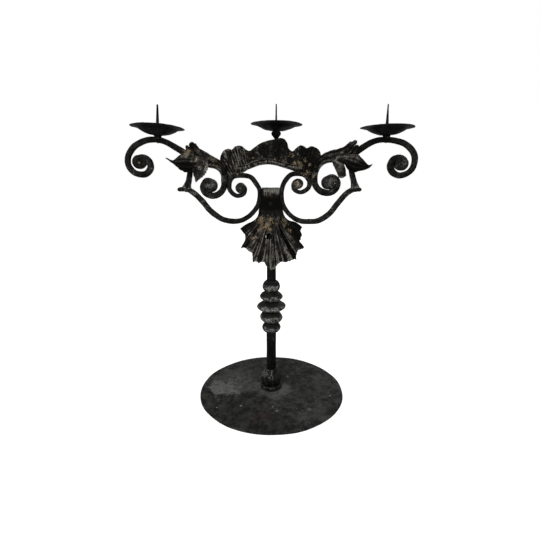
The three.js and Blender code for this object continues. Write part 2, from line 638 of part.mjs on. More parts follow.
// The surface of a chased leaf in front of the arm: spine and half widths lie in the plane of the
// work, the back stays at least behind in front of the arm's axis, the middle bulges, the end curls.
function leafSurface(side, spine, widths, behind, { bulge = 0, flutes, curl }) {
  const line = curveThrough(mirrored(spine, side.sign));
  return (u, v, face) => {
    const across = u * 2 - 1;
    const tangent = line.getTangent(v);
    const aside = tangent.clone().cross(new THREE.Vector3(0, 1, 0)).normalize();
    const point = line.getPoint(v).addScaledVector(aside, across * along(widths, v))
      .addScaledVector(tangent, 2.4 * (1 - across ** 2) * v ** 8);
    const dome = bulge * (1 - across ** 2) * Math.sin(Math.PI * (0.15 + v * 0.85));
    const flute = LEAF_FLUTE * (1 + Math.cos(across * Math.PI * flutes) * smooth(v * 2.5));
    return point.setY(-behind - dome - flute - curl * v ** 4 - (LEAF * (1 + face)) / 2);
  };
}

const leafBack = armDepth + GAP;
const huskBack = leafBack + LEAF + 2 * LEAF_FLUTE + 2 * GAP;

function acanthus(side, rivetHole) {
  const frond = leafSurface(side, side.frond, side.frondWidth, leafBack, { flutes: 1.5, curl: 7 });
  const finger = leafSurface(side, side.finger, side.fingerWidth, leafBack, { flutes: 1, curl: 3 });
  return carved(sheet(6, 10, frond), { joins: [sheet(6, 6, finger)], cuts: [rivetHole] });
}

const huskSurface = (side) => leafSurface(side, side.husk, side.huskWidth, huskBack,
  { bulge: LEAF_BULGE, flutes: 2.5, curl: -3 });

// ---- Crest ----

const crestBack = barDepth * ARM_BAR * 0.5 + GAP;

// Front face of the crest: forward in the middle, behind the bars at its feet.
function crestFace(x) {
  return -CREST_FRONT + (CREST_FRONT + crestBack) * smooth((Math.abs(x) - 46) / 20);
}

function crestPlate(cuts) {
  const top = curveThrough(CREST_TOP);
  const foot = curveThrough(CREST_FOOT);
  const plate = sheet(2 * (CREST_TOP.length - 1), 3, (u, v, face) => {
    const point = foot.getPoint(u).lerp(top.getPoint(u), v);
    const calm = smooth(Math.min(u, 1 - u) / 0.16);
    const ripple = CREST_RIPPLE * Math.cos(u * Math.PI * 22) * v * calm;
    const middle = crestFace(point.x) + SHEET / 2 + ripple;
    return point.setY(middle - face * SHEET / 2);
  });
  return carved(plate, { cuts });
}

const stripCentre = (x, foot) => topAt(foot, [0, 0], x).centre + STRIP_WIDTH / 2;

function crestStrip(cuts) {
  const foot = curveThrough(CREST_FOOT);
  const [from, to] = STRIP_ENDS;
  const points = Array.from({ length: 13 }, (_, i) => {
    const x = from + ((to - from) * i) / 12;
    return [x, stripCentre(x, foot), crestFace(x) - CREST_RIPPLE * 0.5 - GAP - STRIP_THICKNESS / 2];
  });
  const halves = [0.3, 0.46, 0.5, 0.5, 0.5, 0.5, 0.5, 0.46, 0.3].map((share) => share * STRIP_WIDTH);
  const strip = bar(curveThrough(points), halves, { depth: STRIP_THICKNESS / STRIP_WIDTH, steps: 14 });
  return carved(strip, { cuts });
}

// ---- Pans and spikes ----

function pan(radius, depth, hole) {
  const bowl = radius - BRIM_WIDTH;
  const bowlDepth = depth - BRIM_RISE;
  const outside = [[PAN_FLOOR, 0]];
  for (const share of [0.5, 1]) {
    outside.push([PAN_FLOOR + (bowl - PAN_FLOOR) * share, bowlDepth * share ** 1.9]);
  }
  outside.push([radius - 0.3, depth - 0.5]);
  const inside = outside.slice(0, -1).map(([r, z]) => [r - z * 0.06, z + PAN_THICKNESS]).reverse();
  return turned([[hole, 0], ...outside, [radius, depth], ...inside, [hole, PAN_THICKNESS], [hole, 0]], 24);
}

function spike(shankFoot, seat, length, foot, lean, peened) {
  const flange = seat + FLANGE_THICKNESS;
  const top = seat + length;
  const shank = peened ? [[0, shankFoot - HEAD_HEIGHT], [PEEN_RADIUS - 0.4, shankFoot - HEAD_HEIGHT],
    [PEEN_RADIUS, shankFoot], [SHANK_RADIUS, shankFoot]] : [[0, shankFoot], [SHANK_RADIUS, shankFoot]];
  const middle = (flange + top) / 2;
  const profile = [...shank, [SHANK_RADIUS, seat], [SPIKE_FLANGE, seat], [SPIKE_FLANGE - 0.4, flange],
    [foot, flange + 0.6], [(foot + SPIKE_TIP) / 2 - 0.1, middle], [SPIKE_TIP, top - 1], [0, top]];
  return mapped(turned(profile, 8), (x, y, z) => new THREE.Vector3(
    x + lean * Math.max(0, (z - flange) / (top - flange)), y, z));
}

// A pan tilted about the middle of its foot, with its spike; foot is where the pan's underside sits.
function candlePlace(name, x, foot, tilt, { radius, depth, shankFoot, length, spikeFoot, lean, peened }) {
  const angle = THREE.MathUtils.degToRad(tilt);
  const slack = PAN_THICKNESS * Math.abs(Math.sin(angle));
  const place = new THREE.Group();
  place.position.set(x, 0, foot);
  candelabrum.add(place);
  const dish = piece(`drip_pan_${name}`, pan(radius, depth, SHANK_RADIUS + GAP + slack), iron, place);
  dish.rotation.y = angle;
  const seat = PAN_THICKNESS + GAP + SPIKE_FLANGE * Math.abs(Math.sin(angle));
  const point = spike(shankFoot - foot, seat, length, spikeFoot, lean, peened);
  piece(`pricket_${name}`, point, iron, place);
}

// The spool between an arm and its pan, coped to the arm.
function panCollar(x, foot, tilt, lay, centre) {
  const top = -GAP;
  const saddle = centre + 1 - foot;
  const waist = (-PAN_LIFT + top) / 2;
  const bore = SHANK_RADIUS + 2 * GAP;
  const profile = [[bore, saddle], [COLLAR_FLANGE, saddle], [COLLAR_FLANGE, -PAN_LIFT - 0.4],
    [PINCH, waist - 0.3], [PINCH, waist + 0.2], [COLLAR_FLANGE - 0.4, top], [bore, top], [bore, saddle]];
  const spool = turned(profile, 12).rotateY(THREE.MathUtils.degToRad(tilt)).translate(x, 0, foot);
  return carved(facingOut(spool), { cuts: [armBar(lay.arm, GAP)] });
}

const knobFoot = topAt(curveThrough(CREST_TOP), [0, 0], CENTRE_X).centre + KNOB_STAND;
const knobTop = knobFoot + KNOB_HEIGHT;
const knobShankFoot = knobFoot - KNOB_SHANK_LENGTH;
const knobBoreFoot = knobFoot + 0.16 * KNOB_HEIGHT;

function centreKnob(cuts) {
  const bore = SHANK_RADIUS + GAP;
  const ball = [[KNOB_SHANK + 0.5, 0], [5.4 / 8.6, 0.26], [0.92, 0.5], [1, 0.7], [0.9, 0.88], [0.72, 1]]
    .map(([r, share], i) => [i ? r * KNOB_RADIUS : r, knobFoot + KNOB_HEIGHT * share]);
  const profile = [[0, knobShankFoot], [KNOB_SHANK, knobShankFoot], [KNOB_SHANK, knobFoot], ...ball,
    [bore, knobTop], [bore, knobBoreFoot], [0, knobBoreFoot]];
  return carved(facingOut(turned(profile, 14).translate(CENTRE_X, 0, 0)), { cuts });
}

// ---- Assembly of the head ----

const crestCuts = [];
for (const side of SIDES) {
  const { name, sign } = side;
  const lay = layOut(side);
  const pinHeight = lay.lowerEye[1] + 4;
  const armAtPan = topAt(lay.arm, armHalves, sign * side.panX);
  const panFoot = armAtPan.centre + armAtPan.half + PAN_LIFT;
  const shankFoot = armAtPan.centre - armAtPan.half - GAP;

  // A short pin ties the two coils where they touch.
  const coilPin = (extra) => {
    const inner = side.jointX - GAP / 2 - SCROLL_BAR - GAP;
    const outer = side.jointX + GAP / 2 + ARM_BAR * 0.94 + GAP;
    const [from, to] = [inner, outer].map((x) => new THREE.Vector3(sign * x, 0, pinHeight));
    return rivet(from, to, RIVET_RADIUS, RIVET_RADIUS + 1.2, extra);
  };
  const huskPlace = huskSurface(side);
  const leafSeat = huskPlace(0.5, LEAF_RIVET, 1);
  const leafRivet = (extra) => throughRivet([leafSeat.x, leafSeat.z], leafSeat.y - GAP, armDepth + GAP,
    extra);
  const [crestX, crestZ] = side.crestRivet;
  const crestRivet = (extra) => throughRivet([sign * crestX, crestZ], -crestBack,
    crestBack + SHEET + GAP, extra);
  crestCuts.push(crestRivet(GAP));

  piece(`lower_scroll_${name}`, carved(lowerBar(lay.lower), {
    joins: [eye(lay.lowerEye, sign, LOWER_EYE_RADIUS, 4)],
    cuts: [neckPin(GAP), coilPin(GAP), ...strutShape(side, lay, GAP)],
  }), iron);
  piece(`strut_${name}`, strutShape(side, lay), iron);
  piece(`arm_${name}`, carved(armBar(lay.arm), {
    joins: [eye(side.innerEye, sign, INNER_EYE_RADIUS, 4.6), eye(lay.outerEye, sign, OUTER_EYE_RADIUS, 5)],
    cuts: [lowerBar(lay.lower, GAP), coilPin(GAP), leafRivet(GAP), crestRivet(GAP),
      ...strutShape(side, lay, GAP), post(sign * side.panX, shankFoot - 3, panFoot, SHANK_RADIUS + GAP),
      post(sign * side.panX, shankFoot - 3, shankFoot + GAP, PEEN_RADIUS + GAP)],
  }), iron);
  piece(`coil_pin_${name}`, coilPin(), iron);
  piece(`crest_rivet_${name}`, crestRivet(), iron);
  piece(`acanthus_${name}`, acanthus(side, leafRivet(GAP)), giltIron);
  piece(`husk_${name}`, carved(sheet(8, 12, huskPlace), { cuts: [leafRivet(GAP)] }), giltIron);
  piece(`leaf_rivet_${name}`, leafRivet(), iron);
  piece(`pan_collar_${name}`, panCollar(sign * side.panX, panFoot, side.panTilt, lay, armAtPan.centre), iron);
  candlePlace(name, sign * side.panX, panFoot, side.panTilt, {
    radius: PAN_RADIUS, depth: PAN_DEPTH, shankFoot, length: SPIKE_LENGTH, spikeFoot: SPIKE_FOOT,
    lean: sign * side.spikeLean, peened: true,
  });
}

const knobRivet = (extra) => throughRivet([CENTRE_X, knobShankFoot + KNOB_RIVET_RISE],
  -CREST_FRONT - CREST_RIPPLE - GAP, KNOB_SHANK + GAP, extra);
const stripRivets = [-34, 26].map((x) => [x, stripCentre(x, curveThrough(CREST_FOOT))]);
function stripRivet(place, extra) {
  const face = crestFace(place[0]);
  return throughRivet(place, face - CREST_RIPPLE * 0.5 - STRIP_THICKNESS - 2 * GAP,
    face + SHEET + CREST_RIPPLE, extra);
}
const stripCuts = stripRivets.map((place) => stripRivet(place, GAP));

piece('crest_plate', crestPlate([...crestCuts, knobRivet(GAP), ...stripCuts]), giltIron);
piece('crest_strip', crestStrip(stripCuts), giltIron);
stripRivets.forEach((place, i) => piece(`strip_rivet_${i + 1}`, stripRivet(place), iron));
piece('centre_knob', centreKnob([knobRivet(GAP)]), iron);
piece('knob_rivet', knobRivet(), iron);
candlePlace('centre', CENTRE_X, knobTop + GAP, CENTRE_PAN_TILT, {
  radius: CENTRE_PAN_RADIUS, depth: CENTRE_PAN_DEPTH, shankFoot: knobBoreFoot + GAP,
  length: CENTRE_SPIKE_LENGTH, spikeFoot: CENTRE_SPIKE_FOOT, lean: 0, peened: false,
});

export default candelabrum;
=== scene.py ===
"""Looks of a forged-iron candelabrum with three prickets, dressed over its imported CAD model.

Lengths are millimetres in the CAD's frame unless a line says otherwise, and every mesh is made in
metres. Depth is Y: the front of the piece looks along -Y.
"""

import math

import bpy
import numpy as np
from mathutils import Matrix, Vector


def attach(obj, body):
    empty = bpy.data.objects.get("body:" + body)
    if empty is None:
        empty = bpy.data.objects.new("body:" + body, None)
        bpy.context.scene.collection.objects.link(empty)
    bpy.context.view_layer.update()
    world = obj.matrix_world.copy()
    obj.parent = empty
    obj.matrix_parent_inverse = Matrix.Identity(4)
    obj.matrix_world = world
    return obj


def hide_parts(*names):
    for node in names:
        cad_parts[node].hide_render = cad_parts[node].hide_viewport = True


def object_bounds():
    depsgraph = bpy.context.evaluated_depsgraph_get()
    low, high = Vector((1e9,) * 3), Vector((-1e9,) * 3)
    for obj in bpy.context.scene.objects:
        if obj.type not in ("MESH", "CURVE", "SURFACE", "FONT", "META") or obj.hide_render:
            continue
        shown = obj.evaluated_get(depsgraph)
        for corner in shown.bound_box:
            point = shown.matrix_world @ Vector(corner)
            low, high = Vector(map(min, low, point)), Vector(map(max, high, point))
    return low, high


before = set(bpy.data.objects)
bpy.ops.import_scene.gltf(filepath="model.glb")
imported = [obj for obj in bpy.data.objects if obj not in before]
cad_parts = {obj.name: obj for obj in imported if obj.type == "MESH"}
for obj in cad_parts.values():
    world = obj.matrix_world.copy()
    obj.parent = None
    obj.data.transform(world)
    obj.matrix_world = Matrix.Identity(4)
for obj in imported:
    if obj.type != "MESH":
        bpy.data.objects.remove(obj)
cad_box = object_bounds()

MM = 0.001
TAU = 2 * math.pi
BOX_LOW = np.array(cad_box[0]) / MM
BOX_HIGH = np.array(cad_box[1]) / MM
FRONT = np.array([0.0, 1.0, 0.0])

# ---- Sizes taken from the CAD ----

GAP = 0.3
BASE_RADIUS, BASE_RIM, BASE_CROWN = 145, 3.6, 7
SINK_RADIUS, SINK_DEPTH = 13, 3.4
TENON_RADIUS, STEM_RADIUS, STEM_TOP_RADIUS = 6, 9.4, 8.8
TANG_HALF_WIDTH, TANG_HALF_THICKNESS = 12.5, 5
RING_RADIUS, RING_HEIGHT = 21, 8.4
COLLAR_RADIUS, COLLAR_HEIGHT, COLLAR_LIP = 20, 34, 1.2
KNOP_SEAT, KNOP_NECK = 128.6, 10.4
KNOPS = [(18.3, 19.3, 1.6), (22.2, 23, 1.6), (28.2, 20.3, 1.5), (22.2, 18.8, 1.6), (16.9, 21.6, 1.6)]
NECK_X, NECK_Z, NECK_WIDTH = -1, 398.3, 31
SHEET, SHELL_DISH, FLUTE = 2.4, 15, 1.9
HOLE_X, HOLE_Z, HOLE_RADIUS = -4, 319.7, 6
SCROLL_BAR, SCROLL_BAR_WIDE, STRUT_BAR, ARM_BAR, ARM_COIL = 8.4, 10.2, 9, 10.4, 12.6
EYE_LIFT, BAR_DEPTH = 4, 0.95
CREST_FRONT, CREST_RIPPLE, CREST_BACK = 7, 1.2, 5.24
STRIP_WIDTH, STRIP_THICKNESS = 11, 3.4
PAN_THICKNESS, BRIM_WIDTH, BRIM_RISE, PAN_FLOOR = 1.4, 11.8, 2.9, 8
LEAF, LEAF_FLUTE, LEAF_BULGE, LEAF_BACK, HUSK_BACK = 1.8, 0.7, 5, 5.54, 9.34
COLLAR_TURN = 9
STEM_SHOULDER_FOOT, STEM_SHOULDER_TOP = 125.6, 125.7
SPIKE_RADIUS, RIVET_RADIUS, RIVET_HEAD = 1.9, 1.7, 3.3
PAN_RADIUS, PAN_DEPTH = 47, 12.9
CENTRE_PAN_RADIUS, CENTRE_PAN_DEPTH, CENTRE_PAN_TILT = 45.4, 11.2, 1.3

# ---- Where the looks go beyond the CAD ----

STEM_SHIFT = 0.4
BAR_SWELL = 0.2
RIM_WANDER, RIM_WANDER_WAY = 2.6, 215
NECK_SPREAD = 5.2
CREST_DROOP = [(-57, 5.5, 10), (51, 5, 12)]
SPIKE_FOOT, CENTRE_LIFT = 3.5, 1.6
SHELL_LINES, LEAF_LINES, CREST_LINES = (50, 34), (14, 14), (260, 16)

SIDES = [
    dict(
        name="left", sign=-1, joint=79.3, lower_eye=(54.74, 405.4), outer_eye=(231.59, 450.4),
        lower_coil=[(-270, 5.2), (-215, 6.2), (-165, 8), (-120, 11.4), (-60, 15.8), (-10, 20), (25, 22.3),
                    (57, 23.6)],
        lower_rise=[(38, 425), (27, 413.2)],
        lower_fall=[(23.8, 375.4), (30.9, 364.4), (41.8, 354), (56.6, 346.8), (72.7, 345.6), (90.2, 349.9),
                    (110.6, 364.6), (124.3, 381.4), (137.7, 394.9), (151, 402.8), (169.2, 402.6)],
        # inner_highlight paints a highlight on the inner eye; outer_middle_tone tones the outer eye's middle,
        # as painted shade in the left one's hollow.
        inner_eye=(110, 410.5), inner_shift=-2, inner_highlight=0.7,
        outer_shift=1.2, outer_face=(12, 5, 1.0, 0.9, 2.4), outer_middle_tone=-0.9,
        inner_coil=[(505, 6), (460, 7.6), (405, 10), (345, 13.4), (302, 16.4), (254, 19.8), (215, 23),
                    (184, 25.4)],
        arm_rise=[(84.9, 428.5), (89.2, 437.3), (96.5, 442.8), (106, 445.2), (118, 447), (130, 450.9),
                  (143, 458.3), (157.4, 468.7), (171.5, 477.1), (183.7, 483.9), (198, 487.8),
                  (213.6, 487.9), (227.5, 484.1), (240, 477)],
        outer_coil=[(50, 24.4), (20, 22.8), (-15, 22.4), (-60, 22), (-110, 21.8), (-150, 19.8),
                    (-185, 15.4), (-225, 10.6), (-270, 7.6), (-320, 5.6)],
        strut=[(152.5, 403.12), (147.2, 420), (144.4, 436), (143, 458.3)],
        strut_foot=398.4, strut_head=465.2,
        pan_x=198, pan_foot=495.42, pan_tilt=3.1, shank_foot=482.88, brim_lift=3.2,
        spike_length=48.8, spike_blunt=1.5, spike_lean=2.8,
        frond=[(84, 434), (87, 442), (93, 447.4), (108, 453.6), (119.5, 459.1), (129, 466.2), (134, 474.6),
               (138, 480)],
        frond_width=[2.5, 4.5, 6.5, 8.8, 10, 8.6, 6.4, 4.6],
        lobes=[([(120, 452), (129, 459), (137.5, 464.5), (143.6, 470.4), (146, 475.8)], [5, 7, 7, 5.5, 3]),
               ([(116, 455), (123, 461), (128.5, 468), (131.4, 474), (132.6, 479)], [4, 6, 6, 4.8, 3.6])],
        finger=[(117, 457), (121.5, 447), (125.8, 436), (128.8, 427.8), (131.4, 419.8)],
        finger_width=[8, 12.5, 12.2, 8.8, 2.2], finger_front=10.5,
        finger_form=dict(flutes=2, bulge=1.5, teeth=0.12, end=2.0),
        husk=[(117, 449.4), (127.8, 449), (135.8, 448.7), (146.7, 449.3), (157.4, 449.6), (165, 449.9),
              (172.6, 450.8), (183, 456.4)],
        husk_width=[6, 9.9, 13.9, 16.9, 14.1, 8.1, 2.6, 1],
        crest_rivet=(85.2, 430), leaf_rivet=(-126.16, 449.06), coil_pin=409.4,
    ),
    dict(
        name="right", sign=1, joint=72.6, lower_eye=(47.81, 412.9), outer_eye=(231.17, 447.4),
        lower_coil=[(-285, 5.2), (-230, 6.2), (-180, 8), (-125, 11.6), (-72, 15.8), (-22, 20.2),
                    (12, 20.9), (48, 19.4), (84, 17.4)],
        lower_rise=[(35.7, 428.6), (24.4, 417)],
        lower_fall=[(21.4, 375.8), (27.4, 365), (40.1, 352.6), (54, 346.2), (70.4, 345), (87.9, 347.5),
                    (105.4, 358.9), (121.6, 379.2), (135.3, 395), (148.4, 402.8), (163.1, 402.4)],
        inner_eye=(104.6, 415.8), inner_shift=-3, inner_highlight=0.55,
        outer_shift=-1.2, outer_face=(11.8, 5, 1.9, 1.1, -0.8), outer_middle_tone=0.1,
        inner_coil=[(515, 6), (470, 7.8), (420, 10.6), (360, 14.6), (315, 16.6), (270, 18.8), (225, 22.4),
                    (190, 26)],
        arm_rise=[(78.8, 434), (83.4, 443.2), (91, 450.4), (101.5, 454.3), (114, 455.2), (127, 456.4),
                  (139, 460.2), (150.1, 467.3), (162.3, 476), (173.5, 482.7), (188, 487.4),
                  (204.5, 488), (222, 485.4), (236.4, 480)],
        outer_coil=[(52, 28), (25, 24.8), (-10, 21.8), (-50, 20.2), (-100, 20.4), (-140, 20.8),
                    (-172, 20), (-208, 16.4), (-245, 11.4), (-290, 8), (-340, 5.8)],
        strut=[(151.6, 403.25), (147.4, 419), (143.2, 434), (137.5, 459.5)],
        strut_foot=399, strut_head=465.8,
        pan_x=201, pan_foot=495.73, pan_tilt=0, shank_foot=483.27, brim_lift=1.6,
        spike_length=49.6, spike_blunt=1.0, spike_lean=-0.6,
        frond=[(78.5, 440), (81.5, 448.5), (88.5, 455), (104.2, 461), (118.2, 463.6), (128.7, 468.2),
               (137, 475.6), (144.6, 483.6)],
        frond_width=[2.5, 4.5, 6.5, 8.6, 9.2, 8.4, 6, 3.6],
        lobes=[([(120, 459), (130, 462.5), (139, 467.5), (145, 472), (148.8, 476.4)], [5, 7, 6.6, 5, 3]),
               ([(112, 464), (121, 467), (129, 471.5), (134, 477.5), (137, 482)], [4, 5, 5, 4, 2.8])],
        finger=[(110, 464), (116, 450), (122.4, 437), (125.2, 425.6)],
        finger_width=[7, 8.6, 8.6, 7.2], finger_front=7.5,
        finger_form=dict(flutes=1, bulge=3, teeth=0.02, end=0.2),
        husk=[(112.7, 454.6), (123.7, 454.8), (132.4, 453.2), (140.2, 450.2), (148.9, 447),
              (157.1, 444.7), (164.7, 442.8), (171, 442.7), (175.8, 445.2)],
        husk_width=[5.1, 6.1, 9.6, 14.4, 15, 10.5, 6.4, 2.9, 1.1],
        crest_rivet=(79.6, 435.5), leaf_rivet=(123.29, 454.83), coil_pin=416.9,
    ),
]

SHELL_RIM = [
    (-57, 333), (-51, 325), (-43, 316.4), (-46.4, 306.8), (-54, 296), (-43.7, 293.6), (-35.6, 288.4),
    (-34.4, 281.5), (-33.4, 273.2), (-24.4, 272.2), (-14, 271.4), (-8.2, 264.4), (-2.4, 257),
    (5.2, 259), (10, 264), (16, 271.4), (27, 272.2), (39.5, 276), (45.4, 276.8), (46.2, 284.8),
    (49, 290.6), (60, 296), (51, 305.4), (55, 314.6), (49.4, 324.6), (57.8, 334.6),
]
SHOULDER_LEFT = [(-17.2, 369), (-20.4, 360.5), (-31, 348.6), (-46, 341), (-57, 333)]
SHOULDER_RIGHT = [(15, 369), (19, 361.5), (31, 348.8), (46, 343.4), (57.8, 334.6)]
CREST_TOP = [
    (-88, 424), (-91.3, 436), (-92, 448), (-90.8, 460), (-84.7, 470), (-76.9, 473.4), (-69.9, 472.4),
    (-64.2, 477.2), (-57.1, 478.6), (-50.2, 476.7), (-44.4, 471.6), (-38.4, 469.6), (-30, 474.8),
    (-18.9, 481.9), (-6, 486.6), (7, 488.9), (16.4, 490.8), (24, 488.2), (28.6, 480.6), (30.6, 473.2),
    (37.4, 469), (44, 474.4), (51.6, 478.8), (58, 477.4), (63.2, 474.6), (70.6, 477.8), (79.4, 475.4),
    (86.6, 468.4), (89.2, 458.6), (89.4, 446), (85.6, 434), (81, 422),
]
CREST_FOOT = [
    (-80, 414), (-75, 423.6), (-66, 430.8), (-55, 434.6), (-46, 436), (-35, 440), (-22, 444.5),
    (-5, 446.3), (10, 444.2), (22, 440.8), (34, 437.4), (44, 436.4), (54, 433.6), (62.5, 429), (69, 422.6),
    (73.6, 414),
]
STRIP_ENDS = (-60, 55)
STRIP_RIVETS = [(-34, 445.86), (26, 445.06)]
CENTRE_X, KNOB_FOOT, KNOB_HEIGHT, KNOB_RADIUS, KNOB_SHANK = 8.5, 490.03, 12.2, 8.6, 3.1
KNOB_SHANK_FOOT = KNOB_FOOT - 28

# Where the brown-gold paint has kept best on the front: x, height, reach, strength.
PAINT = [
    (-37, 315.5, 3.4, 0.95), (-32, 316.5, 3.6, 1.1), (-26.5, 318, 3.6, 1.0), (-19, 350, 10, 1.0),
    (-10, 342, 11, 1.0), (-18, 332, 10, 0.9), (-3, 333, 9, 0.95), (-2, 351, 9, 0.8), (6, 343, 8, 0.8),
    (14, 352, 7, 0.7), (23, 349, 8, 0.95), (27, 341, 8, 0.85), (34, 331, 8, 0.75), (30, 319, 7, 0.6),
    (36, 315, 5, 0.7), (42, 309, 5, 0.7), (20, 300, 6, 0.5), (23, 290, 6, 0.5), (-22, 300, 8, 0.5),
    (-15, 298, 6, 0.42), (-24, 289, 6, 0.4), (4, 333, 3, 0.9), (-12, 363, 7, 0.4), (14, 360, 6, 0.4),
    (35, 300, 5, 0.4), (60, 454, 5, 1.15), (51.6, 446, 8, 1.0), (43, 449, 7, 0.85), (66, 433, 6, 1.1),
    (46, 440, 6, 0.9), (58, 426, 7, 0.95), (62, 420, 6, 0.8), (-62, 440, 5, 0.95), (-63, 430, 5, 0.7),
    (-52, 465, 8, 0.5), (-58, 454, 8, 0.45), (-42, 468, 6, 0.4), (49.6, 475, 5, 0.5),
    (35.3, 461, 6, 0.8), (-41, 446, 7, 0.6), (-33, 457, 6, 0.5), (-21, 456, 5, 0.45),
    (-4, 455.6, 6, 0.5), (8, 454.2, 6, 0.6), (22, 452.7, 7, 0.5), (40, 423, 6, 0.3),
    (-54.5, 405, 9, 0.25), (-17, 471, 9, 0.3), (47.8, 413, 9, 0.85), (-130, 454, 4.5, 0.95),
    (-147, 467, 8, 1.25), (-134, 422, 5, 0.8), (-127.3, 469, 3, 0.9), (-109, 459.4, 4, 0.7),
    (-99.9, 449.7, 7, 0.6), (-145, 417.2, 4, 0.6), (-135.8, 395.6, 6, 0.55), (-151.7, 402.8, 5, 0.35),
    (-231, 451, 5, 0.6), (-73, 428.6, 5, 0.6), (113, 419.5, 4, 0.9), (108, 408, 5, 0.6),
    (98, 420, 4, 0.5), (68.4, 446, 5, 0.9), (75, 427, 5, 0.85), (144.4, 430, 4, 0.35),
    (235, 444.5, 4, 0.35),
]


# ---- Numbers along a curve ----

def smooth(t):
    """Eases from 0 to 1: three t squared less two t cubed, with t held between 0 and 1."""
    c = np.clip(t, 0, 1)
    return c * c * (3 - 2 * c)


def bell(t, middle, width):
    """A bell curve, 1 at the middle: e to the minus square of the distance over the width."""
    return np.exp(-((t - middle) / width) ** 2)


def spot(points, x, z, reach):
    """A bell curve round a place in the plane of the front."""
    return np.exp(-((points[:, 0] - x) ** 2 + (points[:, 2] - z) ** 2) / reach ** 2)


def signed_power(t, power):
    """A power of a number's size, with its sign kept."""
    return np.sign(t) * np.abs(t) ** power


def along(values, share):
    """Evenly spaced numbers joined by Catmull-Rom cubics, read at shares 0 to 1."""
    v = np.asarray(values, float)
    place = np.clip(share, 0, 1) * (len(v) - 1)
    i = np.minimum(place.astype(int), len(v) - 2)
    f = place - i
    a, b, c, d = (v[np.clip(i + k, 0, len(v) - 1)] for k in (-1, 0, 1, 2))
    return b + 0.5 * f * (c - a + f * (2 * a - 5 * b + 4 * c - d + f * (3 * (b - c) + d - a)))


def unit(vectors):
    """Each vector over its length."""
    return vectors / np.maximum(np.linalg.norm(vectors, axis=-1, keepdims=True), 1e-9)


class Line:
    """A centripetal Catmull-Rom curve through (x, height, depth) points: between two of them a cubic
    whose end slopes weigh the neighbouring steps by the square root of their lengths."""

    def __init__(self, points, per_span=48):
        p = np.array([[q[0], q[2] if len(q) > 2 else 0.0, q[1]] for q in points], float)
        ends = np.vstack([2 * p[0] - p[1], p, 2 * p[-1] - p[-2]])
        gap = np.sqrt(np.maximum(np.linalg.norm(np.diff(ends, axis=0), axis=1), 1e-6))[:, None]
        g0, g1, g2 = gap[:-2], gap[1:-1], gap[2:]
        a, b, c, d = ends[:-3], ends[1:-2], ends[2:-1], ends[3:]
        leave = ((b - a) / g0 - (c - a) / (g0 + g1) + (c - b) / g1) * g1
        arrive = ((c - b) / g1 - (d - b) / (g1 + g2) + (d - c) / g2) * g1
        w = (np.arange(per_span) / per_span)[None, :, None]
        b, c, leave, arrive = b[:, None], c[:, None], leave[:, None], arrive[:, None]
        spans = b + w * (leave + w * (3 * (c - b) - 2 * leave - arrive + w * (2 * (b - c) + leave + arrive)))
        self.points = np.vstack([spans.reshape(-1, 3), p[-1]])
        steps = np.linalg.norm(np.diff(self.points, axis=0), axis=1)
        self.run = np.concatenate([[0.0], np.cumsum(steps)])
        self.length = self.run[-1]
        self.share = np.linspace(0, 1, len(self.points))

    def at(self, distance):
        """Points at distances along the curve."""
        return np.stack([np.interp(distance, self.run, axis) for axis in self.points.T], axis=-1)

    def knot(self, t):
        """Points at shares of the list of points, whatever the distance between them."""
        return np.stack([np.interp(t, self.share, axis) for axis in self.points.T], axis=-1)


def at_x(points, x):
    """The highest height of a flat curve above each x: the greatest of its crossings."""
    line = Line(points).points
    a, b = line[:-1], line[1:]
    x = np.atleast_1d(np.asarray(x, float))[:, None]
    spans = np.where(np.abs(b[:, 0] - a[:, 0]) < 1e-9, 1e-9, b[:, 0] - a[:, 0])
    t = (x - a[:, 0]) / spans
    heights = np.where((t >= 0) & (t <= 1), a[:, 2] + t * (b[:, 2] - a[:, 2]), -1e9)
    return heights.max(axis=1)


# ---- Closed surfaces: (points, quads, triangles) ----

NO_TRIANGLES = np.zeros((0, 3), int)


def tube(rings, poles=None):
    """Joins each ring of points to the next. With poles, both ends close on a middle point;
    without, the last ring joins the first."""
    rows, around, _ = rings.shape
    index = np.arange(rows * around).reshape(rows, around)
    if poles is None:
        index = np.vstack([index, index[:1]])
    after = np.roll(index, -1, axis=1)
    quads = np.stack([index[:-1], after[:-1], after[1:], index[1:]], axis=-1).reshape(-1, 4)
    points = rings.reshape(-1, 3)
    if poles is None:
        return points, quads, NO_TRIANGLES
    first, last = np.full(around, len(points)), np.full(around, len(points) + 1)
    triangles = np.vstack([
        np.stack([after[0], index[0], first], axis=-1),
        np.stack([index[-1], after[-1], last], axis=-1),
    ])
    return np.vstack([points, poles]), quads, triangles


def plate(front, back, keep=None):
    """Closes a sheet given by two grids of points: quads over both, and a wall round every border
    of the kept cells. keep marks the cells that stay. Two more numbers may follow a point's place:
    how far it lies across and along the chased lines."""
    rows, columns, _ = front.shape
    index = np.arange(rows * columns).reshape(rows, columns)
    cells = np.stack([index[:-1, :-1], index[:-1, 1:], index[1:, 1:], index[1:, :-1]], axis=-1)
    cells = cells[np.ones(cells.shape[:2], bool) if keep is None else keep]
    edges = np.stack([cells, np.roll(cells, -1, axis=1)], axis=-1).reshape(-1, 2)
    total = rows * columns
    code = edges.min(axis=1) * total + edges.max(axis=1)
    _, inverse, count = np.unique(code, return_inverse=True, return_counts=True)
    rim = edges[count[inverse] == 1]
    walls = np.stack([rim[:, 1], rim[:, 0], rim[:, 0] + total, rim[:, 1] + total], axis=-1)
    quads = np.vstack([cells, cells[:, ::-1] + total, walls])
    used, quads = np.unique(quads, return_inverse=True)
    wide = front.shape[-1]
    points = np.vstack([front.reshape(-1, wide), back.reshape(-1, wide)])[used]
    return points, quads.reshape(-1, 4), NO_TRIANGLES


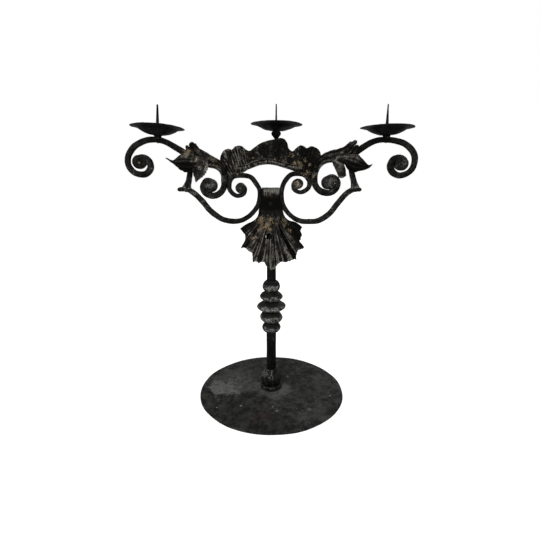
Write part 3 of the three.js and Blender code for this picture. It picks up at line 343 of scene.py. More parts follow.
def chased_plate(front, back, across, down, keep=None):
    """A plate whose points carry how far they lie across and down the chased lines."""
    lines = np.stack(np.broadcast_arrays(across, down), axis=-1)
    return plate(np.concatenate([front, lines], axis=-1), np.concatenate([back, lines], axis=-1), keep)


def rounded(corners, cut, closed=False, steps=5, span=1.6):
    """Eases every corner of a profile: it gives way to a parabola that starts and ends cut before
    the corner, or 45% of the shorter edge beside it. Long edges get points span apart."""
    p = np.asarray(corners, float)
    back, on = np.roll(p, 1, axis=0) - p, np.roll(p, -1, axis=0) - p
    reach = np.minimum(np.linalg.norm(back, axis=1), np.linalg.norm(on, axis=1)) * 0.45
    reach = np.minimum(reach, cut)[:, None]
    a, b = p + unit(back) * reach, p + unit(on) * reach
    s = np.linspace(0, 1, steps)[None, :, None]
    eased = (1 - s) ** 2 * a[:, None] + 2 * s * (1 - s) * p[:, None] + s * s * b[:, None]
    line = eased.reshape(-1, p.shape[1])
    if closed:
        line = np.vstack([line, line[:1]])
    else:
        line = np.vstack([p[:1], line[steps:-steps], p[-1:]])
    run = np.concatenate([[0.0], np.cumsum(np.linalg.norm(np.diff(line, axis=0), axis=1))])
    stops = np.unique(np.concatenate([run, np.arange(0, run[-1], span)]))
    stops = stops[np.concatenate([[True], np.diff(stops) > 0.03])]
    stops[-1] = run[-1]
    result = np.stack([np.interp(stops, run, axis) for axis in line.T], axis=-1)
    return result[:-1] if closed else result


def turned(profile, around=96, wobble=None, section=None):
    """A surface of revolution: profile rows of (radius, height) swept round Z. wobble moves
    (radius, height) by angle, section scales the radius by angle. A profile that starts and ends on
    the axis closes on its poles, any other closes on itself."""
    on_axis = profile[0, 0] < 1e-6
    body = profile[1:-1] if on_axis else profile
    angle = (np.arange(around) / around * TAU)[None, :]
    radius, height = np.repeat(body[:, :1], around, axis=1), np.repeat(body[:, 1:2], around, axis=1)
    if wobble:
        radius, height = wobble(radius, height, angle)
    if section is not None:
        radius = radius * section(angle)
    rings = np.stack([radius * np.sin(angle), -radius * np.cos(angle), height], axis=-1)
    if not on_axis:
        return tube(rings)
    return tube(rings, np.array([[0, 0, profile[0, 1]], [0, 0, profile[-1, 1]]]))


def moved(shell, shift=(0, 0, 0), tilt=0.0, axis=None):
    """A shell turned about Y by tilt degrees, or its Z axis laid along axis, then shifted."""
    points, quads, triangles = shell
    angle = math.radians(tilt)
    c, s = math.cos(angle), math.sin(angle)
    turn = np.array([[c, 0, s], [0, 1, 0], [-s, 0, c]])
    if axis is not None:
        z = unit(np.asarray(axis, float))
        x = unit(np.cross([0.3, 0.2, 1.0] if abs(z[2]) < 0.9 else [1.0, 0.2, 0.1], z))
        turn = np.stack([x, np.cross(z, x), z], axis=1)
    return points @ turn.T + np.asarray(shift, float), quads, triangles


def dents(points, pitch, seed):
    """Uneven hammer dents, about -1 to 1: nine sine waves run through space in seeded directions,
    with lengths of 0.6 to 1.6 pitches."""
    rng = np.random.default_rng(seed)
    total = np.zeros(len(points))
    for _ in range(9):
        way = unit(rng.normal(size=3))
        wave = pitch * rng.uniform(0.6, 1.6)
        total += np.sin(TAU * (points[:, :3] @ way) / wave + rng.uniform(0, TAU))
    return total / 4


# ---- From surfaces to pieces ----

def normals_of(points, quads, triangles):
    """The mean direction of the faces round each point, weighed by their areas."""
    total = np.zeros_like(points)
    for faces in (quads, triangles):
        p = points[faces]
        cross = np.cross(p[:, 2] - p[:, 0], p[:, -1] - p[:, 1]) if len(faces) else np.zeros((0, 3))
        for corner in faces.T:
            for k in range(3):
                total[:, k] += np.bincount(corner, cross[:, k], len(points))
    return unit(total)


def facing_out(shell):
    """Turns the faces round if the volume they enclose comes out negative."""
    points, quads, triangles = shell
    a, b, c, d = (points[quads[:, k], :3] for k in range(4))
    volume = np.einsum("ij,ij", a, np.cross(b, c)) + np.einsum("ij,ij", a, np.cross(c, d))
    if len(triangles):
        a, b, c = (points[triangles[:, k], :3] for k in range(3))
        volume += np.einsum("ij,ij", a, np.cross(b, c))
    return shell if volume > 0 else (points, quads[:, ::-1], triangles[:, ::-1])


def neighbour_mean(values, edges, count):
    """The mean of the values at the far ends of each point's edges."""
    return np.bincount(edges[:, 0], values[edges[:, 1]], len(count)) / count


def relief_of(points, normals, quads, triangles, reach=1.4, scale=0.3):
    """How far a point stands out of its surroundings, -1 in a hollow to 1 on a ridge: its height
    above a copy of the surface smoothed over reach, less the piece's median height, over scale."""
    edges = np.vstack([np.stack([f, np.roll(f, -1, axis=1)], axis=-1).reshape(-1, 2)
                       for f in (quads, triangles)])
    edges = np.vstack([edges, edges[:, ::-1]])
    count = np.maximum(np.bincount(edges[:, 0], minlength=len(points)), 1)
    far = np.linalg.norm(points[edges[:, 0]] - points[edges[:, 1]], axis=1)
    rounds = int(np.clip((reach / np.median(far)) ** 2 * 2, 2, 60))
    soft = points
    for _ in range(rounds):
        mean = np.stack([neighbour_mean(axis, edges, count) for axis in soft.T], axis=-1)
        soft = 0.4 * soft + 0.6 * mean
    height = np.einsum("ij,ij->i", points - soft, normals)
    return np.clip((height - np.median(height)) / scale, -1, 1)


def paint_at(points, normals):
    """Share of paint left: the strongest of the spots, each a bell curve in the plane of the front,
    and none on faces that look back."""
    best = np.zeros(len(points))
    for x, z, reach, strength in PAINT:
        best = np.maximum(best, strength * spot(points, x, z, reach))
    return best * smooth(0.8 - 1.6 * normals[:, 1])


def make_piece(name, shells, material, node, dent=0.0, pitch=14, seed=1, relief=1.0, extra=None):
    """One object from closed shells: dented along its normals, held inside the CAD's box, and given
    the point attributes relief, paint, upward, extra and chase that its material reads."""
    points, quads, triangles, lines, start = [], [], [], [], 0
    for shell in shells:
        p, q, t = facing_out(shell)
        lines.append(p[:, 3:] if p.shape[1] > 3 else p[:, [0, 2]])
        points.append(p[:, :3])
        quads.append(q + start)
        triangles.append(t + start)
        start += len(p)
    points, quads, triangles = np.vstack(points), np.vstack(quads), np.vstack(triangles)
    normals = normals_of(points, quads, triangles)
    if dent:
        points = points + normals * (dent * dents(points, pitch, seed))[:, None]
        normals = normals_of(points, quads, triangles)
    points = np.clip(points, BOX_LOW, BOX_HIGH)
    mesh = bpy.data.meshes.new(name)
    mesh.vertices.add(len(points))
    mesh.vertices.foreach_set("co", (points * MM).astype(np.float32).ravel())
    corners = np.concatenate([quads.ravel(), triangles.ravel()]).astype(np.int32)
    sizes = np.concatenate([np.full(len(quads), 4), np.full(len(triangles), 3)])
    mesh.loops.add(len(corners))
    mesh.loops.foreach_set("vertex_index", corners)
    mesh.polygons.add(len(sizes))
    mesh.polygons.foreach_set("loop_start", (np.cumsum(sizes) - sizes).astype(np.int32))
    mesh.update(calc_edges=True)
    mesh.shade_smooth()
    lines = np.vstack(lines)
    values = {
        "relief": np.clip(relief * relief_of(points, normals, quads, triangles), -1, 1),
        "paint": paint_at(points, normals),
        "upward": normals[:, 2],
        "extra": np.zeros(len(points)) if extra is None else extra(np.hstack([points, lines]), normals),
    }
    for key, numbers in values.items():
        mesh.attributes.new(key, "FLOAT", "POINT").data.foreach_set("value", numbers.astype(np.float32))
    chase = (np.pad(lines, ((0, 0), (0, 1))) * MM).astype(np.float32)
    mesh.attributes.new("chase", "FLOAT_VECTOR", "POINT").data.foreach_set("vector", chase.ravel())
    mesh.materials.append(material)
    piece = bpy.data.objects.new(name, mesh)
    bpy.context.scene.collection.objects.link(piece)
    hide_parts(node)
    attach(piece, "root")


# ---- Shader groups ----

def new_group(name, inputs, outputs):
    """A shader node group with named sockets; inputs are (name, kind, value), outputs (name, kind)."""
    group = bpy.data.node_groups.new(name, "ShaderNodeTree")
    for label, kind, value in inputs:
        socket = group.interface.new_socket(label, in_out="INPUT", socket_type="NodeSocket" + kind)
        if value is not None:
            socket.default_value = value
    for label, kind in outputs:
        group.interface.new_socket(label, in_out="OUTPUT", socket_type="NodeSocket" + kind)
    return group, Sketch(group), group.nodes.new("NodeGroupInput"), group.nodes.new("NodeGroupOutput")


class Sketch:
    """Short ways to add nodes to a tree. Each takes sockets or numbers and returns a socket."""

    def __init__(self, tree):
        self.tree = tree

    def feed(self, socket, value):
        if isinstance(value, bpy.types.NodeSocket):
            self.tree.links.new(value, socket)
        else:
            socket.default_value = value

    def math(self, operation, a, b=0.0, clamp=False):
        node = self.tree.nodes.new("ShaderNodeMath")
        node.operation, node.use_clamp = operation, clamp
        self.feed(node.inputs[0], a)
        self.feed(node.inputs[1], b)
        return node.outputs[0]

    def add(self, a, b, clamp=False):
        return self.math("ADD", a, b, clamp)

    def less(self, a, b, clamp=False):
        return self.math("SUBTRACT", a, b, clamp)

    def times(self, a, b):
        return self.math("MULTIPLY", a, b)

    def measure(self, operation, a, b=(0.0, 0.0, 0.0)):
        node = self.tree.nodes.new("ShaderNodeVectorMath")
        node.operation = operation
        self.feed(node.inputs[0], a)
        node.inputs[1].default_value = b
        return node.outputs["Value"]

    def ramp(self, value, low, high, to_low=0.0, to_high=1.0):
        node = self.tree.nodes.new("ShaderNodeMapRange")
        node.interpolation_type = "SMOOTHSTEP"
        for socket, number in zip(node.inputs, (value, low, high, to_low, to_high)):
            self.feed(socket, number)
        return node.outputs[0]

    def mix(self, share, a, b):
        node = self.tree.nodes.new("ShaderNodeMix")
        node.data_type = "RGBA"
        self.feed(node.inputs[0], share)
        for socket, colour in ((node.inputs[6], a), (node.inputs[7], b)):
            self.feed(socket, (*colour, 1.0) if isinstance(colour, tuple) else colour)
        return node.outputs[2]

    def noise(self, place, scale, detail=3.0, roughness=0.55):
        node = self.tree.nodes.new("ShaderNodeTexNoise")
        for key, value in (("Vector", place), ("Scale", scale), ("Detail", detail), ("Roughness", roughness)):
            self.feed(node.inputs[key], value)
        return node.outputs[0]

    def cells(self, place, scale):
        node = self.tree.nodes.new("ShaderNodeTexVoronoi")
        self.feed(node.inputs["Vector"], place)
        self.feed(node.inputs["Scale"], scale)
        return node.outputs["Distance"]

    def stretch(self, place, scale):
        node = self.tree.nodes.new("ShaderNodeMapping")
        self.feed(node.inputs["Vector"], place)
        node.inputs["Scale"].default_value = scale
        return node.outputs[0]

    def attribute(self, name, output="Fac"):
        node = self.tree.nodes.new("ShaderNodeAttribute")
        node.attribute_name = name
        return node.outputs[output]

    def seen_white(self):
        """1 where the camera or a reflection sees the surface, 0 where it only lights others."""
        path = self.tree.nodes.new("ShaderNodeLightPath").outputs
        reflected = self.math("MAXIMUM", path["Is Glossy Ray"], path["Is Transmission Ray"])
        return self.math("MAXIMUM", path["Is Camera Ray"], reflected)

    def group(self, group, **values):
        node = self.tree.nodes.new("ShaderNodeGroup")
        node.node_tree = group
        for label, value in values.items():
            self.feed(node.inputs[label], value)
        return node.outputs


def forge_skin_group():
    """Skin that a hammer and a fire leave: broad clouds, fine grain, and small pits where the
    clouds are dense. Height is clouds and grain less the pits."""
    group, s, i, o = new_group(
        "forge_skin", [("Vector", "Vector", None), ("Scale", "Float", 90.0), ("Pits", "Float", 0.6)],
        [("Cloud", "Float"), ("Grain", "Float"), ("Height", "Float")])
    place, scale = i.outputs["Vector"], i.outputs["Scale"]
    cloud = s.noise(place, scale, 4.0, 0.6)
    grain = s.noise(place, s.times(scale, 3.4), 4.0, 0.7)
    pit = s.ramp(s.cells(place, s.times(scale, 5.0)), 0.42, 0.12)
    pit = s.times(pit, s.ramp(cloud, 0.46, 0.62))
    height = s.add(s.times(cloud, 0.55), s.times(grain, 0.3))
    height = s.less(height, s.times(pit, i.outputs["Pits"]))
    for label, value in (("Cloud", cloud), ("Grain", grain), ("Height", height)):
        s.feed(o.inputs[label], value)
    return group


def edge_wear_and_highlight_group():
    """Bare metal on ridges, which also stands in for painted highlight along them: relief plus uneven clouds
    and grain, above a threshold that falls as Amount grows."""
    group, s, i, o = new_group(
        "edge_wear_and_highlight", [("Relief", "Float", 0.0), ("Cloud", "Float", 0.5), ("Grain", "Float", 0.5),
                      ("Amount", "Float", 0.5)], [("Mask", "Float")])
    uneven = s.add(s.times(i.outputs["Cloud"], 2.0),
                    s.times(i.outputs["Grain"], 2.6))
    level = s.add(s.add(i.outputs["Relief"], uneven), i.outputs["Amount"])
    s.feed(o.inputs["Mask"], s.ramp(level, 2.55, 3.3))
    return group


def soot_and_shade_group():
    """Soot, old wax and painted shade in hollows: the lower the relief and the denser the cloud, the darker.
    """
    group, s, i, o = new_group(
        "hollow_soot_and_shade", [("Relief", "Float", 0.0), ("Cloud", "Float", 0.5), ("Amount", "Float", 0.5)],
        [("Mask", "Float")])
    level = s.add(s.times(i.outputs["Relief"], -1.1),
                   s.times(i.outputs["Cloud"], 1.6))
    s.feed(o.inputs["Mask"], s.ramp(s.add(level, i.outputs["Amount"]), 1.0, 1.7))
    return group


def paint_group():
    """Flakes of brown-gold paint: they stay where the paint attribute beats a flaky noise, less on
    ridges, and go from brown to tan."""
    group, s, i, o = new_group(
        "paint_rest", [("Vector", "Vector", None), ("Paint", "Float", 0.0), ("Relief", "Float", 0.0)],
        [("Mask", "Float"), ("Color", "Color")])
    place = i.outputs["Vector"]
    flake = s.noise(place, 460.0, 5.0, 0.85)
    broad = s.noise(place, 120.0, 3.0, 0.6)
    uneven = s.add(s.times(flake, 4.2), s.times(broad, 1.6))
    hold = s.less(i.outputs["Paint"], s.times(i.outputs["Relief"], 0.15))
    s.feed(o.inputs["Mask"], s.ramp(s.add(hold, uneven), 3.62, 3.95, 0.0, 0.92))
    tone = s.ramp(s.noise(place, 240.0, 2.0, 0.5), 0.36, 0.64)
    s.feed(o.inputs["Color"], s.mix(tone, (0.075, 0.054, 0.034), (0.23, 0.18, 0.115)))
    return group


def dust_group():
    """Dust on faces that look up: the upward share, made patchy by the cloud."""
    group, s, i, o = new_group(
        "dust_film", [("Upward", "Float", 0.0), ("Cloud", "Float", 0.5), ("Amount", "Float", 0.4)],
        [("Mask", "Float")])
    patches = s.ramp(i.outputs["Cloud"], 0.3, 0.7, 0.25, 1.0)
    level = s.times(s.ramp(i.outputs["Upward"], 0.2, 1.0), patches)
    s.feed(o.inputs["Mask"], s.times(level, i.outputs["Amount"]))
    return group


forge_skin = forge_skin_group()
edge_wear_and_highlight = edge_wear_and_highlight_group()
hollow_soot_and_shade = soot_and_shade_group()
paint_rest = paint_group()
dust_film = dust_group()


# ---- Finishes ----

def shade(colour, share):
    """The colour's channels times the share."""
    return tuple(channel * share for channel in colour)


def iron_finish(name, skin, bare, scale=95.0, wear_and_light=0.0, soot_and_shade=0.0, dust=0.15, bump=0.25, paint=True,
                rough=0.55, grain_stretch=None, streaks=0.0, marks=None):
    """Blackened iron, each layer over the one before: skin and its darker clouds, soot and painted shade in
    hollows, bare metal and painted highlight on ridges, dust on top and flakes of paint. The extra attribute
    paints light: above 0 it lightens the skin, spreads the bare metal and thins the hollow darkening, as
    painted highlight; below 0 it does the reverse, as painted shade. Constants sit on the shader's own
    sockets."""
    material = bpy.data.materials.new(name)
    material.use_nodes = True
    material.node_tree.nodes.clear()
    s = Sketch(material.node_tree)
    shader = s.tree.nodes.new("ShaderNodeBsdfPrincipled")
    output = s.tree.nodes.new("ShaderNodeOutputMaterial")
    s.feed(output.inputs["Surface"], shader.outputs[0])
    place = s.tree.nodes.new("ShaderNodeTexCoord").outputs["Object"]
    relief, extra = s.attribute("relief"), s.attribute("extra")
    base = s.group(forge_skin, Vector=s.stretch(place, grain_stretch) if grain_stretch else place,
                   Scale=scale, Pits=0.5)
    cloud, grain = base["Cloud"], base["Grain"]
    if streaks:
        streak = s.noise(s.stretch(s.attribute("chase", "Vector"), (1.0, 0.22, 1.0)), 560.0, 4.0, 0.7)
        grain = s.add(s.times(grain, 1.0 - streaks), s.times(streak, streaks))
    uneven = s.times(s.add(cloud, grain), 0.5)
    # extra adds painted light to the tone: lighter above 0, darker as painted shade below 0.
    uneven = s.add(uneven, s.times(extra, 0.13))
    colour = s.mix(s.ramp(uneven, 0.4, 0.62), shade(skin, 0.3), shade(skin, 1.7))
    # Soot and painted shade in hollows, less where extra is above 0.
    sooty_and_shaded = s.group(hollow_soot_and_shade, Relief=relief, Cloud=cloud, Amount=s.less(soot_and_shade, extra))["Mask"]
    colour = s.mix(sooty_and_shaded, colour, shade(skin, 0.15))
    # Bare metal on ridges plus painted highlight: the mask also grows where extra is above 0.
    worn_and_highlit = s.group(edge_wear_and_highlight, Relief=relief, Cloud=cloud, Grain=grain,
                   Amount=s.add(s.times(extra, 1.6), wear_and_light))["Mask"]
    colour = s.mix(worn_and_highlit, colour, s.mix(s.ramp(grain, 0.4, 0.65), shade(bare, 0.5), shade(bare, 1.6)))
    dusty = s.group(dust_film, Upward=s.attribute("upward"), Cloud=cloud, Amount=dust)["Mask"]
    colour = s.mix(dusty, colour, (0.09, 0.088, 0.083))
    metal = s.times(worn_and_highlit, 0.25)
    roughness = s.less(s.ramp(grain, 0.2, 0.8, rough - 0.08, rough + 0.12),
                       s.times(worn_and_highlit, 0.1))
    if paint:
        flakes = s.group(paint_rest, Vector=place, Paint=s.attribute("paint"), Relief=relief)
        colour = s.mix(flakes["Mask"], colour, flakes["Color"])
        metal = s.times(metal, s.less(1.0, flakes["Mask"]))
        roughness = s.add(roughness, s.times(flakes["Mask"], 0.15), clamp=True)
    if marks:
        colour = marks(s, place, colour)
    bumps = s.tree.nodes.new("ShaderNodeBump")
    bumps.inputs["Strength"].default_value = bump
    bumps.inputs["Distance"].default_value = 0.0012
    s.feed(bumps.inputs["Height"], base["Height"])
    s.feed(shader.inputs["Base Color"], colour)
    s.feed(shader.inputs["Roughness"], roughness)
    s.feed(shader.inputs["Metallic"], metal)
    s.feed(shader.inputs["Normal"], bumps.outputs[0])
    shader.inputs["Specular IOR Level"].default_value = 0.012
    return material


# Marks on the foot: x, y, reach, softness, raggedness, strength, colour.
FOOT_PATCHES = [
    (-96, 2, 27, 0.85, 210, 0.95, (0.15, 0.148, 0.138)),
    (-84, 26, 70, 0.3, 150, 0.55, (0.1, 0.099, 0.093)),
    (-40, 2, 36, 0.3, 130, 0.35, (0.08, 0.079, 0.074)),
    (4, -7, 42, 0.6, 40, 0.65, (0.115, 0.113, 0.105)),
    (105, 20, 50, 0.3, 150, 0.35, (0.07, 0.07, 0.067)),
    (84, -88, 46, 0.3, 170, 0.4, (0.07, 0.07, 0.067)),
    (0, -128, 50, 0.4, 90, 0.6, (0.006, 0.006, 0.0058)),
    (-70, -90, 50, 0.3, 120, 0.5, (0.008, 0.008, 0.0077)),
    (-14, -95, 24, 0.4, 120, 0.45, (0.04, 0.023, 0.015)),
]
# Pale drips: x, y, reach.
FOOT_DRIPS = [
    (-57, -65, 2.6), (10, -81, 2.8), (36, 43, 1.8), (-102, -69, 2.2), (51, 113, 2.0), (116, -29, 2.0),
    (48, -75, 1.5), (58, -79, 1.5), (3, -69, 1.7),
]


def foot_marks(s, place, colour):
    """Marks on the foot: dusty and dark patches and a brown stain with ragged edges, a few pale
    drips, a ring, and specks in the middle of small cells."""
    mottle = s.noise(place, 60.0, 9.0, 0.8)
    fine = s.noise(place, 260.0, 5.0, 0.8)

    def near(x, y, reach, ragged=0.0, soft=0.45):
        distance = s.measure("DISTANCE", s.stretch(place, (1.0, 1.0, 0.0)), (x * MM, y * MM, 0.0))
        if ragged:
            shift = s.times(s.less(mottle, 0.5), ragged * MM)
            distance = s.less(distance, shift)
        return s.ramp(distance, reach * MM, reach * soft * MM)

    colour = s.mix(s.ramp(mottle, 0.5, 0.64, 0.0, 0.7), colour, (0.055, 0.054, 0.051))
    colour = s.mix(s.ramp(mottle, 0.48, 0.36, 0.0, 0.8), colour, (0.005, 0.005, 0.0048))
    for x, y, reach, soft, ragged, strength, tint in FOOT_PATCHES:
        patch = s.times(near(x, y, reach, ragged, soft), s.ramp(fine, 0.38, 0.62, 0.3, 1.0))
        colour = s.mix(s.times(patch, strength), colour, tint)
    for x, y, reach in FOOT_DRIPS:
        colour = s.mix(s.times(near(x, y, reach, 8), 0.75), colour, (0.22, 0.215, 0.2))
    ring = s.less(near(71, -76, 4.6), near(71, -76, 3.0), clamp=True)
    colour = s.mix(s.times(ring, 0.7), colour, (0.18, 0.18, 0.17))
    speck = s.ramp(s.cells(place, 190.0), 0.13, 0.05)
    return s.mix(s.times(speck, s.ramp(mottle, 0.5, 0.6, 0.0, 0.45)), colour, (0.18, 0.175, 0.165))


black = iron_finish("blackened_iron", (0.0098, 0.0097, 0.0092), (0.07, 0.069, 0.065), wear_and_light=-0.05)
pan_black = iron_finish("pan_black_iron", (0.0052, 0.0052, 0.0052), (0.03, 0.03, 0.029), wear_and_light=-0.15, dust=0.3,
                        paint=False)
stem_black = iron_finish("stem_iron", (0.0048, 0.0048, 0.0047), (0.034, 0.033, 0.031), wear_and_light=-0.15,
                         grain_stretch=(1.0, 1.0, 0.3))
# Finish of the beads; their painted highlight and shade come in through extra.
worn_and_highlit = iron_finish("worn_iron", (0.025, 0.0246, 0.0238), (0.12, 0.118, 0.113), paint=False, scale=110.0)
dusty = iron_finish("dusty_iron", (0.0225, 0.0223, 0.0213), (0.06, 0.06, 0.058), wear_and_light=-0.3, dust=0.08,
                    paint=False, scale=90.0, rough=0.62, marks=foot_marks)
gilt = iron_finish("gilt_iron", (0.0145, 0.0136, 0.0118), (0.105, 0.099, 0.087), wear_and_light=0.05,
                   scale=130.0, rough=0.6, bump=0.35, streaks=0.65)

# ---- Foot ----

def base_disc():
    """The foot: the top's height is the rim's plus the crown's rise times the 0.7 power of the
    cosine of the share of radius, 1 being a right angle. The edge wanders inwards by up to 3.5 mm,
    most at the back left, and the top is a little beaten."""
    bore = TENON_RADIUS + GAP
    shares = np.array([0.985, 0.95, 0.9, 0.82, 0.72, 0.6, 0.46, 0.34, 0.24, 0.18])
    rise = BASE_RIM + (BASE_CROWN - BASE_RIM) * np.cos(shares * math.pi / 2) ** 0.7
    profile = [(bore, SINK_DEPTH), (SINK_RADIUS, SINK_DEPTH), (SINK_RADIUS, 0), (BASE_RADIUS - 1, 0),
               (BASE_RADIUS, 1), (BASE_RADIUS, BASE_RIM - 1.2)]
    profile += list(zip(BASE_RADIUS * shares, rise)) + [(RING_RADIUS, BASE_CROWN), (bore, BASE_CROWN)]

    def wobble(radius, height, angle):
        outer = smooth((radius - 60) / 85)
        edge = 0.5 + RIM_WANDER * (0.5 + 0.5 * np.cos(angle - math.radians(RIM_WANDER_WAY))) ** 1.5
        edge = edge + np.sin(8 * angle + 2) * 0.3 + np.sin(13 * angle) * 0.2
        top = smooth(height / 3)
        beat = np.sin(5 * angle + radius / 19) * np.cos(2 * angle - radius / 13) * 0.22
        return radius - edge * outer, height + (beat - 0.25) * top * smooth((radius - 22) / 20)

    return turned(rounded(profile, 1.1, closed=True, span=2.2), 300, wobble)


def octagon(turn):
    """Section of an eight-sided bar: the radius falls towards the middle of each side, with a high
    power sum of the eight side directions instead of sharp corners."""
    def section(angle):
        ways = math.radians(turn) + (np.arange(8) + 0.5) * TAU / 8
        facing = np.maximum(np.cos(angle[..., None] - ways), 0) ** 40
        return math.cos(math.pi / 8) / facing.sum(axis=-1) ** (1 / 40)
    return section


def foot_collar():
    """The eight-sided collar: a turned profile whose radius past the lip is scaled by the octagon's
    section, eased in over 3 mm from the bore."""
    h, r = COLLAR_HEIGHT, COLLAR_RADIUS
    foot = BASE_CROWN + GAP + RING_HEIGHT + GAP
    bore = STEM_RADIUS + GAP
    lip = bore + COLLAR_LIP
    levels = [(bore, 0), (r * 0.86, 0), (r * 0.93, h * 0.18), (r, h * 0.42), (r * 0.93, h * 0.55),
              (lip + (r - lip) * 0.3, h * 0.78), (lip + 0.4, h * 0.97), (bore, h)]
    profile = rounded([(radius / math.cos(math.pi / 8) if radius > bore else radius, foot + z)
                       for radius, z in levels], 1.6, closed=True, span=1)
    cut = octagon(COLLAR_TURN)

    def facets(radius, height, angle):
        faced = lip + (radius * cut(angle) - lip) * smooth((radius - bore) / 3)
        return np.where(radius > lip, faced, radius), height

    return turned(profile, 160, facets)


def foot_ring():
    """A round ring: its eased profile turned about the stem."""
    foot, r, bore = BASE_CROWN + GAP, RING_RADIUS, STEM_RADIUS + GAP
    top = foot + RING_HEIGHT
    corners = [(bore, foot), (r - 0.8, foot), (r + 0.1, foot + 2), (r - 0.5, top - 3.4), (r, top - 1.4),
               (r - 1.4, top), (bore, top)]
    return turned(rounded(corners, 0.9, closed=True, span=1), 140)


def collar_painted_light(points, normals):
    """Painted light on the collar: palest on its upper slope and on the facets that look left, a painted
    highlight on the corner that looks forward, and painted shade round its foot where it meets the ring."""
    angle = np.degrees(np.arctan2(points[:, 0], -points[:, 1]))
    corner = bell(angle, COLLAR_TURN, 9) + 0.8 * bell(angle, COLLAR_TURN + 45, 9)
    foot = smooth((24 - points[:, 2]) / 7)
    slope = smooth((-normals[:, 0] + normals[:, 2]) / 1.2) * smooth((points[:, 2] - 30) / 8)
    return 0.3 * corner + 0.5 * slope - 0.7 * foot - 0.05 + 0.15 * dents(points, 9, 31)


def washer():
    """A flat ring: a rectangle with eased corners, turned about the tenon."""
    bore, edge, under, over = TENON_RADIUS + GAP, 11, 1.9, 3.1
    return turned(rounded([(bore, under), (edge, under), (edge, over), (bore, over)], 0.3, closed=True), 64)


make_piece("foot_disc", [base_disc()], dusty, "base_disc", dent=0.06, pitch=18, seed=3, relief=0.6)
make_piece("stem_ring", [foot_ring()], black, "foot_ring", dent=0.22, pitch=7, seed=4, relief=0.35)
make_piece("stem_collar", [foot_collar()], black, "foot_collar", dent=0.2, pitch=12, seed=5, relief=0.4,
           extra=collar_painted_light)
make_piece("hidden_washer", [washer()], black, "base_washer")

# ---- Stem and beads ----

def stem_rod():
    """The stem: at each height an oval with that height's half width and half thickness, squarer
    where it is flattened, its middle drawn to the neck's x."""
    foot, bend, flat = BASE_CROWN + GAP, 234, NECK_Z - 30
    top = [(NECK_Z + TANG_HALF_THICKNESS * math.sin(a), TANG_HALF_WIDTH, TANG_HALF_THICKNESS * math.cos(a))
           for a in np.radians([0, 25, 45, 60, 72, 80])]
    levels = [(z, radius, radius) for z, radius in [
        (0.6, 7.6), (1.6, 8), (1.61, TENON_RADIUS), (foot, TENON_RADIUS), (foot + 0.01, STEM_RADIUS),
        (STEM_SHOULDER_FOOT, STEM_RADIUS), (STEM_SHOULDER_TOP, STEM_TOP_RADIUS),
        (bend, STEM_TOP_RADIUS), (flat - 45, STEM_TOP_RADIUS)]]
    levels += [(flat - 22, 9.8, 7.2), (flat, TANG_HALF_WIDTH, TANG_HALF_THICKNESS)] + top
    rows = rounded(levels, 2.5, span=1.8)
    height, wide, thick = (rows[:, k, None] for k in range(3))
    angle = (np.arange(64) / 64 * TAU)[None, :]
    power = 2 / (2 + 1.6 * smooth((wide - thick) / 4))
    out, deep = signed_power(np.sin(angle), power), -signed_power(np.cos(angle), power)
    shift = STEM_SHIFT + (NECK_X - STEM_SHIFT) * smooth((height - bend) / (flat - bend))
    rings = np.stack([out * wide + shift, deep * thick, height + 0 * angle], axis=-1)
    return tube(rings, rings[[0, -1]].mean(axis=1))


def knop_seat(number):
    """Height of a bead's underside: the first seat plus the heights and gaps of the beads below."""
    return KNOP_SEAT + sum(KNOPS[k][1] + GAP for k in range(number))


def knop(number):
    """A bead: half height times sign(a) |sin a|^(2/p), radius from its neck out by cos a^(2/p),
    seated a little out of true on the stem."""
    radius, height, power = KNOPS[number]
    seat = knop_seat(number)
    bore, neck = STEM_TOP_RADIUS + GAP, min(KNOP_NECK, radius - 2)
    a = np.radians(np.linspace(-86, 86, 34))
    rim = np.stack([neck + (radius - neck) * np.cos(a) ** (2 / power),
                    seat + height / 2 * (1 + signed_power(np.sin(a), 2 / power))], axis=-1)
    profile = rounded([(bore, seat + 0.05), *rim, (bore, seat + height - 0.05)], 0.6, closed=True, span=1.4)
    lean, lean_at = (0.35, 0.9, 1.1, 0.6, 0.4)[number], (1.0, 4.2, 2.4, 5.4, 0.3)[number]

    def wobble(r, z, angle):
        share = (r - bore) / (radius - bore)
        uneven = 0.22 * np.sin(2 * angle + number) + 0.16 * np.sin(5 * angle + 2 * number)
        middle = 1 - np.abs(2 * (z - seat) / height - 1) ** 3
        out, up = STEM_SHIFT * np.sin(angle), lean * np.cos(angle - lean_at)
        return r + out + uneven * share, z + up * share * middle

    return turned(profile, 150, wobble)


def bead_wear_and_shade(seat, height):
    """Bare metal and painted light on a bead: lightest on its belly and just below, as painted highlight,
    and darkest at its top, as painted shade from the bead above.
    """
    def wear_and_light(points, normals):
        share = (points[:, 2] - seat) / height
        belly = bell(share, 0.42, 0.3) - 1.2 * smooth((share - 0.66) / 0.18)
        return 0.6 * belly - 0.2 + 0.3 * dents(points, 8, int(seat))
    return wear_and_light


make_piece("stem_rod", [stem_rod()], stem_black, "stem", dent=0.16, pitch=24, seed=6)
for number, (_, height, _) in enumerate(KNOPS):
    make_piece(f"bead_{number + 1}", [knop(number)], worn_and_highlit, f"knop_{number + 1}", dent=0.2, pitch=11,
               seed=20 + number, relief=0.6, extra=bead_wear_and_shade(knop_seat(number), height))

# ---- Rivets and pins ----

